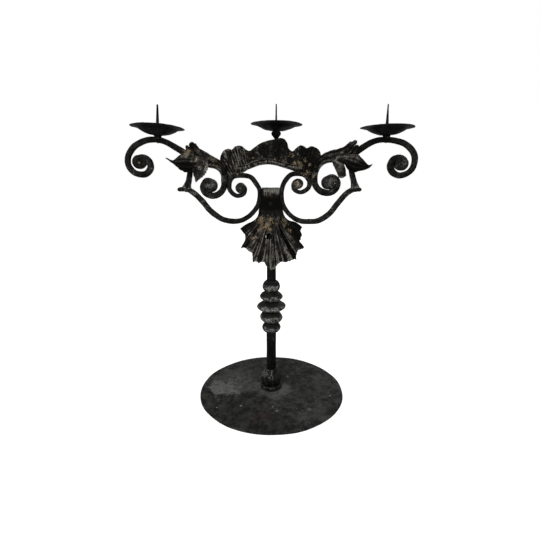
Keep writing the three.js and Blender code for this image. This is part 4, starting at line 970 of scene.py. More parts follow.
def rivet_shell(start, end, radius, head, rise=1.6, around=28):
    """A rivet: a shank between two dome heads; a dome's height falls as the square root of one less
    the square of its share of radius."""
    length = float(np.linalg.norm(np.subtract(end, start)))
    a = np.radians(np.linspace(0, 90, 10))
    dome = np.stack([head * np.sin(a), -rise * np.cos(a) ** 0.8], axis=-1)
    profile = np.vstack([dome, [(radius, 0.05), (radius, length - 0.05)],
                         np.stack([dome[::-1, 0], length - dome[::-1, 1]], axis=-1)])
    profile[0, 0] = profile[-1, 0] = 0
    return moved(turned(rounded(profile, 0.1), around), shift=start, axis=np.subtract(end, start))


def rivet_piece(node, start, end, radius=RIVET_RADIUS, head=RIVET_HEAD, material=stem_black):
    """The piece that stands for a rivet's or pin's node, from one head's seat to the other's."""
    make_piece(f"{node}_head", [rivet_shell(start, end, radius, head)], material, node, dent=0.06, pitch=5,
               seed=len(node), relief=0.2)


rivet_piece("neck_pin", (NECK_X - 21.6, 0, NECK_Z), (NECK_X + 21.6, 0, NECK_Z), 2.2, 2.6)
rivet_piece("shell_rivet", (NECK_X, -8.3, 377.3), (NECK_X, 5.3, 377.3), head=3.5)
for number, (x, z) in enumerate(STRIP_RIVETS):
    rivet_piece(f"strip_rivet_{number + 1}", (x, -11.6, z), (x, -3.4, z))
rivet_piece("knob_rivet", (CENTRE_X, -8.5, KNOB_FOOT - 20), (CENTRE_X, 3.4, KNOB_FOOT - 20))

# ---- Shell leaf ----

# The shell's flutes: where they lie across the leaf (-1 to 1), their depth and their width.
SHELL_FLUTES = [
    (-0.95, 1.5, 0.05), (-0.8, 1.4, 0.05), (-0.62, 2.2, 0.055), (-0.47, 1.3, 0.04), (-0.3, 1.5, 0.045),
    (-0.14, 1.0, 0.04), (0.0, 1.3, 0.035), (0.13, 1.0, 0.04), (0.27, 1.5, 0.04), (0.43, 3.4, 0.06),
    (0.58, 1.5, 0.04), (0.74, 2.6, 0.055), (0.9, 1.6, 0.05),
]
# Its spikes: where along the rim's list of points, and their length.
SHELL_SPIKES = [
    (2.3, 1.6), (4, 3.2), (5.4, 1.8), (8, 3.2), (9.2, 1.6), (10.6, 1.8), (16, 2), (18, 3.4), (19.4, 2),
    (21, 2.6), (22.3, 1.8), (23, 2.6), (24, 1.6),
]


def shell_fan(across, down):
    """Depth of chased lines in the fan: the flutes are bell-shaped valleys that open away from the
    neck, with fine uneven ridges between them."""
    wander = across + 0.012 * np.sin(9 * down + 5 * across)
    opening = smooth(down * 1.5)
    total = np.zeros_like(wander)
    for centre, deep, wide in SHELL_FLUTES:
        total -= deep * bell(wander, centre, wide) * (0.25 + 0.75 * opening)
    fine = np.cos(across * math.pi * 31 + 1.5 * np.sin(7 * down)) * 0.24
    fine = fine + np.cos(across * math.pi * 53 + 2) * 0.12
    return total + fine * smooth(down * 2.5) + 0.55


def shell_leaf():
    """The leaf: rolled over the pin from behind, flat down the neck, then a fan whose rays bend from
    the neck through a knee to the rim. Depth is the CAD's: forward to clear the stem, turned back
    at the sides, with the chased lines on top."""
    columns, roll_rows, neck_rows, fan_rows = 340, 24, 10, 108
    u = np.linspace(0, 1, columns)[None, :]
    across = 2 * u - 1
    edge_x = NECK_X + across * NECK_WIDTH / 2
    marks = 0.1 * np.cos(across * 27 + 0.8 * np.sin(6 * across)) + 0.07 * np.cos(across * 44 + 1)
    inner, outer = TANG_HALF_THICKNESS + 2 * GAP, TANG_HALF_THICKNESS + 2 * GAP + SHEET
    a = np.radians(np.linspace(-20, 180, roll_rows, endpoint=False))[:, None]

    def roll(radius):
        rows = np.broadcast_arrays(edge_x, radius * np.cos(a), NECK_Z + radius * np.sin(a))
        return np.stack(rows, axis=-1)

    neck_end = SHOULDER_LEFT[0][1]
    share = np.linspace(0, 1, neck_rows, endpoint=False)[:, None]
    neck_z = NECK_Z + (neck_end - NECK_Z) * share + 0 * u
    down = np.linspace(0, 1, fan_rows)[:, None]
    rim = Line(SHELL_RIM, 96).knot(u[0])
    left, right = Line(SHOULDER_LEFT).knot(down[:, 0]), Line(SHOULDER_RIGHT).knot(down[:, 0])
    shoulder = np.where(across[..., None] < 0, left[:, None], right[:, None])
    start = np.stack([edge_x[0], 0 * u[0], np.full(columns, neck_end)], axis=-1)
    knee = np.stack([across[0] * 20, 0 * u[0], 336 + 8 * np.abs(across[0])], axis=-1)
    tooth = 1.3 * np.maximum(np.cos(u[0] * 190), 0) ** 4 + 0.6 * np.cos(u[0] * 83 + 1)
    for place, reach in SHELL_SPIKES:
        tooth = tooth + reach * np.maximum(0, 1 - np.abs(u[0] - place / 25) / 0.016) ** 1.4
    rim = rim + unit(rim - start) * tooth[:, None]
    t = down[..., None]
    ray = (1 - t) ** 2 * start + 2 * t * (1 - t) * knee + t * t * rim
    fan = ray + (shoulder - ray) * (np.abs(across) ** 6)[..., None]

    x = np.concatenate([edge_x + 0 * share, fan[..., 0]])
    z = np.concatenate([neck_z, fan[..., 2]])
    d = np.concatenate([0 * share, down]) + 0 * u
    middle = inner + SHEET / 2
    clear = STEM_TOP_RADIUS + GAP + SHEET / 2 + FLUTE + 1.5
    x = x + signed_power(across, 4) * NECK_SPREAD * smooth((388 - z) / 12) * smooth((z - 350) / 20)
    forward = middle + (clear - middle) * smooth((NECK_Z - 27 - z) / 24)
    turn = np.where(across > 0, SHELL_DISH, SHELL_DISH * 0.5)
    fold = np.where(across > 0, 0.5 * np.abs(across) ** 2.4 + 0.5 * smooth((across - 0.6) / 0.34),
                    np.abs(across) ** 2.4)
    swell = FLUTE * 0.6 * np.cos(across * math.pi * 7.5) * smooth(d * 1.6) * (1 - 0.4 * np.abs(across))
    depth = forward - turn * fold * smooth(d * 1.2) + swell
    chased = shell_fan(across + 0 * d, d) * smooth(d * 12)
    near_hole = smooth((np.hypot(x - HOLE_X, z - HOLE_Z) - HOLE_RADIUS - 0.5) / 5)
    scratch = marks * (1 - smooth(d * 6))
    front_y = -(depth + chased * (0.35 + 0.65 * near_hole) + scratch + SHEET / 2)
    back_y = -(depth + 0.55 * chased - SHEET / 2)

    # The hole: the lines of the grid near its edge are drawn onto it.
    away = np.hypot(x - HOLE_X, z - HOLE_Z)
    pull = np.abs(away - HOLE_RADIUS) < 0.52
    scale = np.where(pull, HOLE_RADIUS / np.maximum(away, 1e-6), 1.0)
    x, z = HOLE_X + (x - HOLE_X) * scale, HOLE_Z + (z - HOLE_Z) * scale
    flat = np.stack([x, z], axis=-1)
    centre = (flat[:-1, :-1] + flat[:-1, 1:] + flat[1:, 1:] + flat[1:, :-1]) / 4
    keep = np.hypot(centre[..., 0] - HOLE_X, centre[..., 1] - HOLE_Z) > HOLE_RADIUS - 0.08
    keep = np.vstack([np.ones((roll_rows, columns - 1), bool), keep])
    thin = smooth(np.minimum(u, 1 - u) * columns / 4 + 0.25)
    thin_d = thin * smooth((1 - d) * fan_rows / 2 + 0.3)
    mid = (front_y + back_y) / 2
    front_y, back_y = mid + (front_y - mid) * thin_d, mid + (back_y - mid) * thin_d
    lift = (marks * 0.7)[..., None] * (roll(1) - roll(0))
    front = np.concatenate([roll(outer) + lift, np.stack([x, front_y, z], axis=-1)])
    back = np.concatenate([roll(inner), np.stack([x, back_y, z], axis=-1)])
    down_rows = np.concatenate([np.full(roll_rows, -0.3), np.full(neck_rows, -0.1), down[:, 0]])
    return chased_plate(front, back, across * SHELL_LINES[0], down_rows[:, None] * SHELL_LINES[1], keep)


def shell_wear_and_shade(points, normals):
    """The roll carries file lines and is painted lighter on top, as painted light where it turns over, with
    painted shade below it. In the fan the rays differ in tone, one deep flute and the folded right edge are
    black with painted shade, the folded left edge is darker too, and the lower middle is palest."""
    across, down = points[:, 3] / SHELL_LINES[0], points[:, 4] / SHELL_LINES[1]
    lines = 0.2 * np.cos(across * 27 + 0.8 * np.sin(6 * across)) + 0.16 * np.cos(across * 44 + 1)
    roll = smooth((points[:, 2] - 386) / 10) * (0.3 + lines)
    neck = bell(points[:, 2], 378, 12)
    open_rays = smooth(down * 2 - 0.3)
    rays = (0.24 * np.cos(across * 31 + 1.5 * np.sin(4 * across)) + 0.26 * np.cos(across * 67 + 2)
            + 0.2 * np.cos(across * 109 + 4)) * open_rays
    deep = 1.1 * bell(across, 0.45, 0.07) * smooth(down * 3 - 1)
    margin = 1.4 * smooth((across - 0.62) / 0.16) * smooth(down * 3 - 0.6)
    margin = margin + 0.7 * smooth((-across - 0.78) / 0.16)
    middle = 0.3 * bell(across, 0.02, 0.42) * smooth((down - 0.45) / 0.4)
    return roll - neck + rays - deep - margin + middle - 0.12 + 0.2 * dents(points, 22, 40)


make_piece("shell", [shell_leaf()], gilt, "shell_leaf", dent=0.12, pitch=7, seed=8, relief=0.7,
           extra=shell_wear_and_shade)

# ---- Scrolled bars ----

def coil_points(eye, turns):
    """Points of a coil round its eye, with the inner end standing forward by the square of its
    nearness to the eye."""
    order = {turn: rank for rank, turn in enumerate(sorted(turns, key=lambda turn: turn[1]))}
    points = []
    for turn in turns:
        angle, lift = math.radians(turn[0]), EYE_LIFT * max(0, 1 - order[turn] / 4) ** 2
        points.append((eye[0] + turn[1] * math.cos(angle), eye[1] + turn[1] * math.sin(angle), -lift))
    return points


def mirrored(points, sign):
    """The points with x times the side's sign."""
    return [(p[0] * sign, *p[1:]) for p in points]


def bar_shell(line, halves, depth, around=36, square=2.5, step=0.9, start_round=1.0, end_round=1.0):
    """A forged bar: a superellipse section carried along the line, its half width read from halves
    plus BAR_SWELL, its half depth a share of that. Both ends close as the root of one less a square."""
    ease = 0.5 - 0.5 * np.cos(np.linspace(0, math.pi, 16))
    first, last = along(halves, np.array([0.0, 1.0])) * np.array([start_round, end_round])
    middle = np.arange(first, line.length - last, step)
    run = np.concatenate([first * ease[1:-1], middle, line.length - last * ease[::-1][1:-1]])
    run = np.unique(run)
    run = run[(run > 0.02) & (run < line.length - 0.02)]
    share = run / line.length
    closing = np.sqrt(np.clip(1 - np.clip(1 - run / first, 0, 1) ** 2, 0, 1))
    closing = closing * np.sqrt(np.clip(1 - np.clip(1 - (line.length - run) / last, 0, 1) ** 2, 0, 1))
    centre = line.at(run)
    tangent = unit(line.at(run + 0.6) - line.at(run - 0.6))
    side = unit(np.cross(tangent, FRONT))
    half = ((along(halves, share) + BAR_SWELL) * closing)[:, None]
    angle = (np.arange(around) / around * TAU)[None, :]
    out, deep = signed_power(np.cos(angle), 2 / square), signed_power(np.sin(angle), 2 / square)
    rings = (centre[:, None] + side[:, None] * (out * half)[..., None]
             + FRONT * (deep * half * depth)[..., None])
    return tube(rings, line.at(np.array([0.0, line.length])))


def eye_shell(eye, sign, radius, depth, winds=1.4, groove=0.8, hollow=0.0):
    """The snubbed end of a coil, turned round an axis along Y: a nearly flat face with a groove
    that winds outward, a round edge, and a flat back. A hollow sinks the middle."""
    front = depth + EYE_LIFT
    edge = 2.6
    a = np.radians(np.linspace(0, 90, 9))
    face_r = np.linspace(0.35, radius - edge, 30)
    r = np.concatenate([face_r, radius - edge + edge * np.sin(a[1:]), [radius] * 4,
                        radius - 1.4 + 1.4 * np.cos(a[1:]), np.linspace(radius - 2.4, 0.5, 4)])
    y = np.concatenate([-front + 0.9 * (face_r / radius) ** 2, -front + 0.8 + edge * (1 - np.cos(a[1:])),
                        np.linspace(-front + edge + 2, depth - 2, 4), depth - 1.4 + 1.4 * np.sin(a[1:]),
                        [depth] * 4])
    angle = (np.arange(84) / 84 * TAU)[None, :]
    r, y = r[:, None], y[:, None] + 0 * angle
    pitch = (radius - 1.6) / winds
    phase = np.mod((r - 1.2) / pitch - sign * angle / TAU, 1.0)
    face = smooth((-y - front + edge * 0.9) / 1.2)
    y = y + groove * bell(phase, 0.5, 0.13) * smooth((r - 1) / 2.5) * face
    y = y + hollow * np.exp(-(r / 3.4) ** 4) * face
    rings = np.stack([sign * eye[0] + r * np.cos(angle), y, eye[1] + r * np.sin(angle)], axis=-1)
    ends = np.array([[sign * eye[0], -front + hollow, eye[1]], [sign * eye[0], depth, eye[1]]])
    return tube(rings, ends)


LOWER_HALVES = ([s * SCROLL_BAR for s in (0.38, 0.42, 0.46, 0.5, 0.5, 0.5, 0.5, 0.5, 0.5, 0.5)]
                + [s * SCROLL_BAR_WIDE for s in (0.45, 0.47, 0.5, 0.5, 0.49, 0.46, 0.34)])
ARM_HALVES = ([s * ARM_BAR for s in (0.42, 0.47, 0.52, 0.545, 0.53, 0.5, 0.49, 0.5, 0.53, 0.54, 0.51, 0.47,
                                     0.47, 0.49, 0.5, 0.49)]
              + [s * ARM_COIL for s in (0.4, 0.42, 0.46, 0.44, 0.36)])
STRUT_HALVES = [s * STRUT_BAR for s in (0.95, 0.66, 0.56, 0.53, 0.52, 0.52, 0.58)]


def eye_light_and_shade(spots):
    """Painted light round the coils: a bell curve round each spot, on faces that look forward. Spots above 0
    lighten, those on the eyes' faces as painted highlight; spots below 0 darken as painted shade, on the arm
    under its pan and in the hollow middle of the left outer eye.
    """
    def wear_and_light(points, normals):
        total = np.full(len(points), -0.02)
        for x, z, reach, strength in spots:
            total += strength * spot(points, x, z, reach)
        return total * smooth(0.6 - normals[:, 1]) + 0.12 * dents(points, 22, 50)
    return wear_and_light


def dome(x, z, radius, rise, way):
    """A peened head on the Z axis: a dome whose height is the root of one less its share squared."""
    a = np.radians(np.linspace(0, 90, 9))
    cap = np.stack([radius * np.sin(a), rise * np.cos(a)], axis=-1)
    profile = np.vstack([cap, [(radius * 0.9, -1.2), (0, -1.2)]])
    return moved(turned(rounded(profile, 0.2), 36), shift=(x, 0, z), axis=(0, 0, way))


def leaf_surface(side, spine, widths, behind, bulge=0.0, flutes=1.5, curl=0.0, size=(60, 110), veins=0.5,
                 teeth=0.0, end=0.0):
    """A chased leaf in front of the arm: across runs -1 to 1 over the half width along the spine.
    The middle bulges by 1 less across squared, flutes are cosine waves across, fine veins follow
    the length, the margin is toothed, and the end curls by the fourth power of the share of length."""
    columns, rows = size
    line = Line(mirrored(spine, side["sign"]))
    v = np.linspace(0, 1, rows)
    across = np.linspace(-1, 1, columns)[None, :]
    point = line.knot(v)
    tangent = unit(line.knot(v + 0.004) - line.knot(v - 0.004))
    aside = unit(np.cross(tangent, FRONT))
    v = v[:, None]
    width = np.maximum(along(widths, v), 0.45)
    saw = np.mod(v * 7.3 + 0.2 * across, 1.0) - 0.5
    width = width * (1 + teeth * saw * smooth(v * 6) * smooth((1 - v) * 5))
    reach = (2.4 * (1 - across ** 2) + end * (0.5 + 0.5 * np.cos(across * math.pi * (flutes * 2)))) * v ** 8
    place = point[:, None] + aside[:, None] * (across * width)[..., None]
    place = place + tangent[:, None] * reach[..., None]
    lobes = np.cos(across * math.pi * flutes) * smooth(v * 2.5)
    valley = bell(np.abs(np.mod(across * flutes / 2 + 0.5, 1) - 0.5), 0.5, 0.11)
    fine = np.cos(across * math.pi * 6.5 + 3 * v) + 0.6 * np.cos(across * math.pi * 11 + 2)
    raised = (bulge * (1 - across ** 2) * np.sin(math.pi * (0.15 + v * 0.85)) + LEAF_FLUTE * (1 + lobes)
              + curl * v ** 4)
    chased = veins * (0.28 * fine - 1.5 * valley) * smooth(v * 3)
    margin = np.minimum(1 - np.abs(across), 0.12) / 0.12
    thick = LEAF * smooth(margin * 0.9 + 0.35) * smooth((1 - v) * 18 + 0.35)
    middle = -(behind + raised + LEAF / 2)
    front, back = place.copy(), place.copy()
    front[..., 1] = middle - thick / 2 - chased
    back[..., 1] = middle + thick / 2 - chased * 0.5
    return chased_plate(front, back, across * LEAF_LINES[0], v * LEAF_LINES[1])


def frond_wear_and_light(points, normals):
    """Tone of the acanthus: palest where it looks up, as painted light from above, and round the finger's
    middle, dark by the crest.
    """
    across = np.abs(points[:, 0])
    finger = np.exp(-((across - 116) ** 2 + (points[:, 2] - 441) ** 2) / 200)
    return (0.25 * dents(points, 16, 12) + 0.4 * normals[:, 2] - 0.1 - 0.5 * bell(across, 82, 7)
            + 0.4 * finger)


def husk_light_and_shade(points, normals):
    """Painted light on the husk: palest where it looks up, and painted shade underneath towards its hooked
    tip.
    """
    shaded = smooth((np.abs(points[:, 0]) - 128) / 12) * smooth((453 - points[:, 2]) / 6)
    return 0.45 * normals[:, 2] + 0.25 * dents(points, 12, 13) - 0.05 - 0.75 * shaded


for side in SIDES:
    name, sign = side["name"], side["sign"]
    neck = 20 + sign * NECK_X
    lower = Line(mirrored(coil_points(side["lower_eye"], side["lower_coil"]) + side["lower_rise"]
                          + [(neck, NECK_Z + 4), (neck, NECK_Z - 12)] + side["lower_fall"], sign))
    beside = side["joint"] + GAP / 2 + ARM_BAR * 0.47
    arm = Line(mirrored(coil_points(side["inner_eye"], side["inner_coil"])
                        + [(beside, side["inner_eye"][1] + 9)] + side["arm_rise"]
                        + coil_points(side["outer_eye"], side["outer_coil"]), sign))
    lower_eye, inner_eye, outer_eye = side["lower_eye"], side["inner_eye"], side["outer_eye"]
    make_piece(
        f"scroll_{name}",
        [bar_shell(lower, LOWER_HALVES, BAR_DEPTH, end_round=1.3),
         eye_shell(lower_eye, sign, 9.4, 4, 1.2, 0.35)],
        black, f"lower_scroll_{name}", dent=0.2, pitch=13, seed=60 + sign,
        # Painted highlight on the lower eye's face.
        extra=eye_light_and_shade([(sign * lower_eye[0], lower_eye[1], 9, 0.6), (sign * 136, 395, 16, 0.2)]))
    make_piece(
        f"branch_{name}",
        [bar_shell(arm, ARM_HALVES, BAR_DEPTH),
         eye_shell((inner_eye[0] + side["inner_shift"], inner_eye[1] - 1), sign, 11.8, 4.6, 1.2, 0.4),
         eye_shell((outer_eye[0] + side["outer_shift"], outer_eye[1]), sign, *side["outer_face"])],
        black, f"arm_{name}", dent=0.22, pitch=15, seed=70 + sign,
        # Painted highlights on the two eyes, and painted shade on the arm under its pan at 186, 485.
        extra=eye_light_and_shade([(sign * inner_eye[0], inner_eye[1], 9.5, side["inner_highlight"]),
                        (sign * outer_eye[0], outer_eye[1], 11, 0.45),
                        (sign * outer_eye[0], outer_eye[1], 5.5, side["outer_middle_tone"]),
                        (sign * 95, 440, 20, 0.45), (sign * 186, 485, 34, -0.5)]))
    strut = side["strut"]
    make_piece(
        f"upright_{name}",
        [bar_shell(Line(mirrored(strut, sign)), STRUT_HALVES, 0.85, start_round=0.4, end_round=0.4),
         dome(sign * strut[0][0], side["strut_foot"], 3.2, 0.5, -1),
         dome(sign * strut[-1][0], side["strut_head"], 3.2, 1.6, 1)],
        black, f"strut_{name}", dent=0.2, pitch=11, seed=80 + sign)
    pin_z, joint = side["coil_pin"], side["joint"]
    rivet_piece(f"coil_pin_{name}", (sign * (joint - 6.8), 0, pin_z), (sign * (joint + 7.6), 0, pin_z),
                head=1.9)
    x, z = side["crest_rivet"]
    rivet_piece(f"crest_rivet_{name}", (sign * x, -CREST_BACK, z), (sign * x, 7.94, z))
    x, z = side["leaf_rivet"]
    rivet_piece(f"leaf_rivet_{name}", (x, -15.84, z), (x, LEAF_BACK, z), material=gilt)
    make_piece(
        f"frond_{name}",
        [leaf_surface(side, side["frond"], side["frond_width"], LEAF_BACK, curl=7, flutes=2, veins=0.3,
                      teeth=0.05, end=1.2),
         leaf_surface(side, side["finger"], side["finger_width"], side["finger_front"], curl=1.5, veins=0.2,
                      **side["finger_form"]),
         *[leaf_surface(side, spine, widths, LEAF_BACK - 1.5, curl=5, veins=0.3, teeth=0.05, end=0.6)
           for spine, widths in side["lobes"]]],
        gilt, f"acanthus_{name}", dent=0.22, pitch=8, seed=90 + sign, relief=0.5, extra=frond_wear_and_light)
    make_piece(
        f"husk_leaf_{name}",
        [leaf_surface(side, side["husk"], side["husk_width"], HUSK_BACK, bulge=LEAF_BULGE, flutes=3.5,
                      curl=-3, size=(90, 150), veins=0.4, teeth=0.06)],
        gilt, f"husk_{name}", dent=0.2, pitch=8, seed=95 + sign, relief=0.5, extra=husk_light_and_shade)

# ---- Crest ----

def crest_face(x):
    """Depth of the crest's front: forward in the middle, behind the bars beyond 46 to 66 mm."""
    return -CREST_FRONT + (CREST_FRONT + CREST_BACK) * smooth((np.abs(x) - 46) / 20)


def crest_plate():
    """The palmette: rays join the lower edge, which droops over the scrolls, to the scalloped top.
    Broad ripples follow the CAD, fine chiselled valleys run up each ray, the outer edge turns back,
    and the middle is pecked."""
    columns, rows = 560, 88
    u, v = np.linspace(0, 1, columns)[None, :], np.linspace(0, 1, rows)[:, None]
    foot, top = Line(CREST_FOOT).knot(u[0]), Line(CREST_TOP, 64).knot(u[0])
    foot[:, 2] -= sum(deep * bell(foot[:, 0], centre, wide) for centre, deep, wide in CREST_DROOP)
    place = foot[None] + (top - foot)[None] * v[..., None]
    x, z = place[..., 0], place[..., 2]
    calm = smooth(np.minimum(u, 1 - u) / 0.16)
    ripple = CREST_RIPPLE * np.cos(u * math.pi * 22) * v * calm
    lobes = bell(x, -66, 26) + 0.55 * bell(x, 66, 20) + 0.3
    line = np.mod(u * 47 + 0.12 * np.sin(v * 9 + u * 60), 1.0) - 0.5
    cuts = -1.15 * bell(line, 0, 0.17) * lobes * smooth(v * 3) * (0.6 + 0.4 * np.sin(u * 97) ** 2)
    pecks = np.sin(x * 1.9 + 2 * np.sin(z * 0.9)) * np.sin(z * 2.1 + 2 * np.sin(x * 0.7)) * 0.32
    pecks = pecks * bell(x, 2, 34) * smooth(v * 3)
    turned_back = 2.2 * smooth((v - 0.8) / 0.2) ** 2 * np.exp(-((x + 4) / 60) ** 8)
    middle = crest_face(x) + SHEET / 2 + ripple + turned_back
    thin = smooth((1 - v) * 12 + 0.3) * smooth(v * 12 + 0.3) * smooth(np.minimum(u, 1 - u) * 100 + 0.3)
    front, back = place.copy(), place.copy()
    front[..., 1] = middle - SHEET / 2 * thin - cuts - pecks
    back[..., 1] = middle + SHEET / 2 * thin
    return chased_plate(front, back, u * CREST_LINES[0], v * CREST_LINES[1])


def crest_strip():
    """The moulded strip: a flat oval bar along the crest's lower edge whose front carries a raised
    line at each edge and a row of beads between them."""
    start, end = STRIP_ENDS
    x = np.linspace(start, end, 25)
    centre = at_x(CREST_FOOT, x) + STRIP_WIDTH / 2
    depth = crest_face(x) - CREST_RIPPLE * 0.5 - GAP - STRIP_THICKNESS / 2
    line = Line(list(zip(x, centre, depth)))
    halves = [s * STRIP_WIDTH for s in (0.3, 0.46, 0.5, 0.5, 0.5, 0.5, 0.5, 0.46, 0.3)]
    points, quads, triangles = bar_shell(line, halves, STRIP_THICKNESS / STRIP_WIDTH, around=72, square=3.2,
                                         step=0.45)
    near = np.interp(points[:, 0], line.points[:, 0], line.run)
    middle = line.at(near)
    slope = unit(line.at(near + 1) - line.at(near - 1))
    away = points - middle
    across = (away[:, 2] * slope[:, 0] - away[:, 0] * slope[:, 2]) / (STRIP_WIDTH / 2)
    facing = smooth(-away[:, 1] / 0.9)
    bead = np.abs(np.sin(near * math.pi / 5.4)) ** 0.5 * np.exp(-((across + 0.12) / 0.34) ** 4)
    rails = bell(across, 0.62, 0.13) + 0.8 * bell(across, -0.72, 0.13)
    points = points.copy()
    points[:, 1] -= facing * (1.1 * bead + 1.2 * rails - 0.9)
    return points, quads, triangles


def crest_light_and_shade(points, normals):
    """Painted light on the crest, as from the upper left: painted shade at the top of its middle and on its
    right lobes, and lighter on its left lobes.
    """
    x, z = points[:, 0], points[:, 2]
    left = 0.22 * bell(x, -66, 20)
    middle = -0.3 * bell(x, 12, 26) * smooth((z - 455) / 12)
    right = -0.4 * bell(x, 70, 16)
    rays = 0.3 * np.cos(points[:, 3] * 0.9) * bell(np.abs(x), 66, 22)
    return left + middle + right + rays - 0.28 + 0.3 * dents(points, 12, 15)


make_piece("palmette", [crest_plate()], gilt, "crest_plate", dent=0.16, pitch=6, seed=11, relief=1.1,
           extra=crest_light_and_shade)
# A relief of 1.8 paints the gap above the strip and the hollows between its beads dark as painted shade, and
# its beads and rails light as painted highlight.
make_piece("beaded_strip", [crest_strip()], gilt, "crest_strip", dent=0.14, pitch=5, seed=12, relief=1.8,
           extra=lambda points, normals: 0.3 * dents(points, 9, 16) - 0.1)

# ---- Knob, pans and spikes ----

def centre_knob():
    """The ball with its shank below and a blind bore above: an eased profile turned about Z."""
    top, bore = KNOB_FOOT + KNOB_HEIGHT, 2.2
    ball = [(KNOB_SHANK + 0.5, 0), (5.4, 0.24), (7.9, 0.47), (KNOB_RADIUS, 0.68), (7.8, 0.88), (6.2, 1)]
    profile = [(0, KNOB_SHANK_FOOT), (KNOB_SHANK, KNOB_SHANK_FOOT), (KNOB_SHANK, KNOB_FOOT)]
    profile += [(r, KNOB_FOOT + KNOB_HEIGHT * s) for r, s in ball]
    profile += [(bore, top), (bore, KNOB_FOOT + 2), (0, KNOB_FOOT + 2)]
    return moved(turned(rounded(profile, 1.8, span=0.9), 80), shift=(CENTRE_X, 0, 0))


def pan_shell(radius, depth, hole, lift):
    """A beaten pan: outside height grows as the 1.9 power of the way out to the brim, the inside is
    the same a wall higher. The brim rises to its lip with a slight wave, and by lift at the front."""
    bowl, bowl_depth = radius - BRIM_WIDTH, depth - BRIM_RISE
    share = np.linspace(0.12, 1, 9)
    out, up = PAN_FLOOR + (bowl - PAN_FLOOR) * share, bowl_depth * share ** 1.9
    outside = [(PAN_FLOOR, 0.0), *zip(out, up), (radius - 0.3, depth - 0.5)]
    inside = [(r - z * 0.06, z + PAN_THICKNESS) for r, z in outside[:-1]][::-1]
    corners = [(hole, 0), *outside, (radius, depth - 0.1), *inside, (hole, PAN_THICKNESS)]
    profile = rounded(corners, 1.0, closed=True, span=1.5)

    def wobble(r, z, angle):
        lip = smooth((r - bowl) / (radius - bowl))
        wave = 0.3 * np.sin(3 * angle + 1) + 0.2 * np.sin(7 * angle)
        front = lift * np.maximum(np.cos(angle), 0) * smooth((r - 12) / (radius - 12))
        return r - (0.45 + wave) * lip, z + 0.35 * (np.sin(2 * angle + 0.4) - 1) * lip + front
    return turned(profile, 180, wobble)


def spike_shell(shank_foot, seat, length, foot, blunt, lean, peened):
    """A pricket: shank, flange and a spike whose radius narrows a little faster than a cone, bent
    sideways by lean in proportion to its height."""
    flange, top = seat + 1.2, seat + length
    shank = [(0, shank_foot), (SPIKE_RADIUS, shank_foot)]
    if peened:
        shank = [(0, shank_foot - 0.7), (2.2, shank_foot - 0.6), (3.0, shank_foot),
                 (SPIKE_RADIUS, shank_foot + 0.05)]
    middle = (flange + top) / 2
    profile = shank + [(SPIKE_RADIUS, seat), (4.4, seat), (4.0, flange), (foot, flange + 0.6),
                       ((foot + blunt) / 2 - 0.1, middle), (blunt, top - 1), (0, top)]
    points, quads, triangles = turned(rounded(profile, 0.5, span=1), 32)
    points = points.copy()
    points[:, 0] += lean * np.maximum(0, (points[:, 2] - flange) / (top - flange))
    return points, quads, triangles


def pan_collar(side):
    """The waisted collar between an arm and its pan; its saddle reaches into the arm."""
    top, saddle = -GAP, -6.6
    corners = [(2.5, saddle), (7.6, saddle), (7.4, -3.6), (6.1, -1.9), (6.1, -1.5), (7.8, top), (2.5, top)]
    spool = turned(rounded(corners, 0.6, closed=True, span=0.8), 72)
    return moved(spool, shift=(side["sign"] * side["pan_x"], 0, side["pan_foot"]), tilt=side["pan_tilt"])


def candle_place(name, x, foot, tilt, radius, depth, lift, shank_foot, length, spike, lean, peened):
    """A pan with its spike. The pan is tilted and its hole widened for the upright shank; spike
    holds the radii at the foot and below the tip."""
    slope = abs(math.sin(math.radians(tilt)))
    seat = PAN_THICKNESS + GAP + 4.4 * slope
    pan = moved(pan_shell(radius, depth, 2.2 + PAN_THICKNESS * slope, lift), shift=(x, 0, foot), tilt=tilt)
    make_piece(f"pan_{name}", [pan], pan_black, f"drip_pan_{name}", dent=0.24, pitch=16, seed=len(name) * 7)
    spike = moved(spike_shell(shank_foot - foot, seat, length, *spike, lean, peened), shift=(x, 0, foot))
    make_piece(f"spike_{name}", [spike], pan_black, f"pricket_{name}", dent=0.07, pitch=9, seed=len(name) * 9)


for side in SIDES:
    name = side["name"]
    make_piece(f"spool_{name}", [pan_collar(side)], pan_black, f"pan_collar_{name}", dent=0.08, pitch=7,
               seed=17)
    candle_place(name, side["sign"] * side["pan_x"], side["pan_foot"], side["pan_tilt"], PAN_RADIUS,
                 PAN_DEPTH, side["brim_lift"], side["shank_foot"], side["spike_length"],
                 (SPIKE_FOOT, side["spike_blunt"]), side["spike_lean"], True)
make_piece("ball_knob", [centre_knob()], pan_black, "centre_knob", dent=0.12, pitch=8, seed=18,
           extra=lambda points, normals: np.full(len(points), -0.6))
candle_place("centre", CENTRE_X, KNOB_FOOT + KNOB_HEIGHT + GAP, CENTRE_PAN_TILT, CENTRE_PAN_RADIUS,
             CENTRE_PAN_DEPTH, CENTRE_LIFT, KNOB_FOOT + 2 + GAP, 42.7, (2.0, 1.1), 0, False)

# ---- Floor, light and camera ----

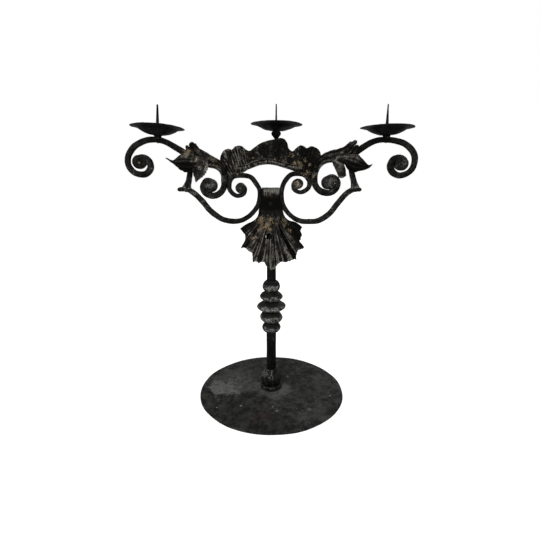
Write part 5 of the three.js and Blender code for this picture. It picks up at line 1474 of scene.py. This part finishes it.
def pale_floor():
    """A wide pale floor. Seen straight or in a reflection it is lifted to white outside the
    object's shadow."""
    material = bpy.data.materials.new("pale_floor")
    material.use_nodes = True
    material.node_tree.nodes.clear()
    s = Sketch(material.node_tree)
    diffuse = s.tree.nodes.new("ShaderNodeBsdfDiffuse")
    diffuse.inputs["Color"].default_value = (0.6, 0.6, 0.6, 1)
    glow = s.tree.nodes.new("ShaderNodeEmission")
    far = s.measure("LENGTH", s.tree.nodes.new("ShaderNodeTexCoord").outputs["Object"])
    s.feed(glow.inputs["Strength"], s.times(s.seen_white(), s.ramp(far, 0.2, 0.9, 0.74, 1.0)))
    both = s.tree.nodes.new("ShaderNodeAddShader")
    s.feed(both.inputs[0], diffuse.outputs[0])
    s.feed(both.inputs[1], glow.outputs[0])
    s.feed(s.tree.nodes.new("ShaderNodeOutputMaterial").inputs["Surface"], both.outputs[0])
    mesh = bpy.data.meshes.new("floor")
    mesh.from_pydata([(-9, -9, 0), (9, -9, 0), (9, 9, 0), (-9, 9, 0)], [], [(0, 1, 2, 3)])
    mesh.materials.append(material)
    floor = bpy.data.objects.new("floor", mesh)
    bpy.context.scene.collection.objects.link(floor)


def surroundings():
    """Soft even light from all round, shown as white where the camera or a reflection sees it."""
    world = bpy.data.worlds.new("studio")
    bpy.context.scene.world = world
    world.use_nodes = True
    world.node_tree.nodes.clear()
    s = Sketch(world.node_tree)
    sky = s.tree.nodes.new("ShaderNodeBackground")
    sky.inputs["Color"].default_value = (1, 1, 1, 1)
    s.feed(sky.inputs["Strength"], s.ramp(s.seen_white(), 0.0, 1.0, 0.14, 1.0))
    s.feed(s.tree.nodes.new("ShaderNodeOutputWorld").inputs["Surface"], sky.outputs[0])


def soft_lamp(name, place, target, size, watts):
    """A round area lamp turned to shine from its place at the target."""
    light = bpy.data.lights.new(name, "AREA")
    light.shape, light.size, light.energy = "DISK", size, watts
    lamp = bpy.data.objects.new(name, light)
    bpy.context.scene.collection.objects.link(lamp)
    lamp.location = place
    way = np.subtract(target, place)
    down = math.atan2(math.hypot(way[0], way[1]), -way[2])
    lamp.rotation_euler = (down, 0, math.atan2(way[1], way[0]) - math.pi / 2)


pale_floor()
surroundings()
soft_lamp("front_lamp", (-0.55, -1.45, 1.15), (0, 0, 0.33), 0.7, 31)
soft_lamp("side_lamp", (1.2, -0.9, 1.0), (0, 0, 0.35), 0.5, 5)
soft_lamp("back_lamp", (0.7, 1.4, 0.9), (0, 0, 0.3), 0.7, 9)

lens = bpy.data.cameras.new("view")
lens.sensor_width, lens.lens = 36, 26
view = bpy.data.objects.new("view", lens)
bpy.context.scene.collection.objects.link(view)
view.location = (-0.0022, -0.717, 0.432)
view.rotation_euler = (math.radians(76), 0, 0)
bpy.context.scene.camera = view
bpy.context.scene.view_settings.view_transform = "Standard"
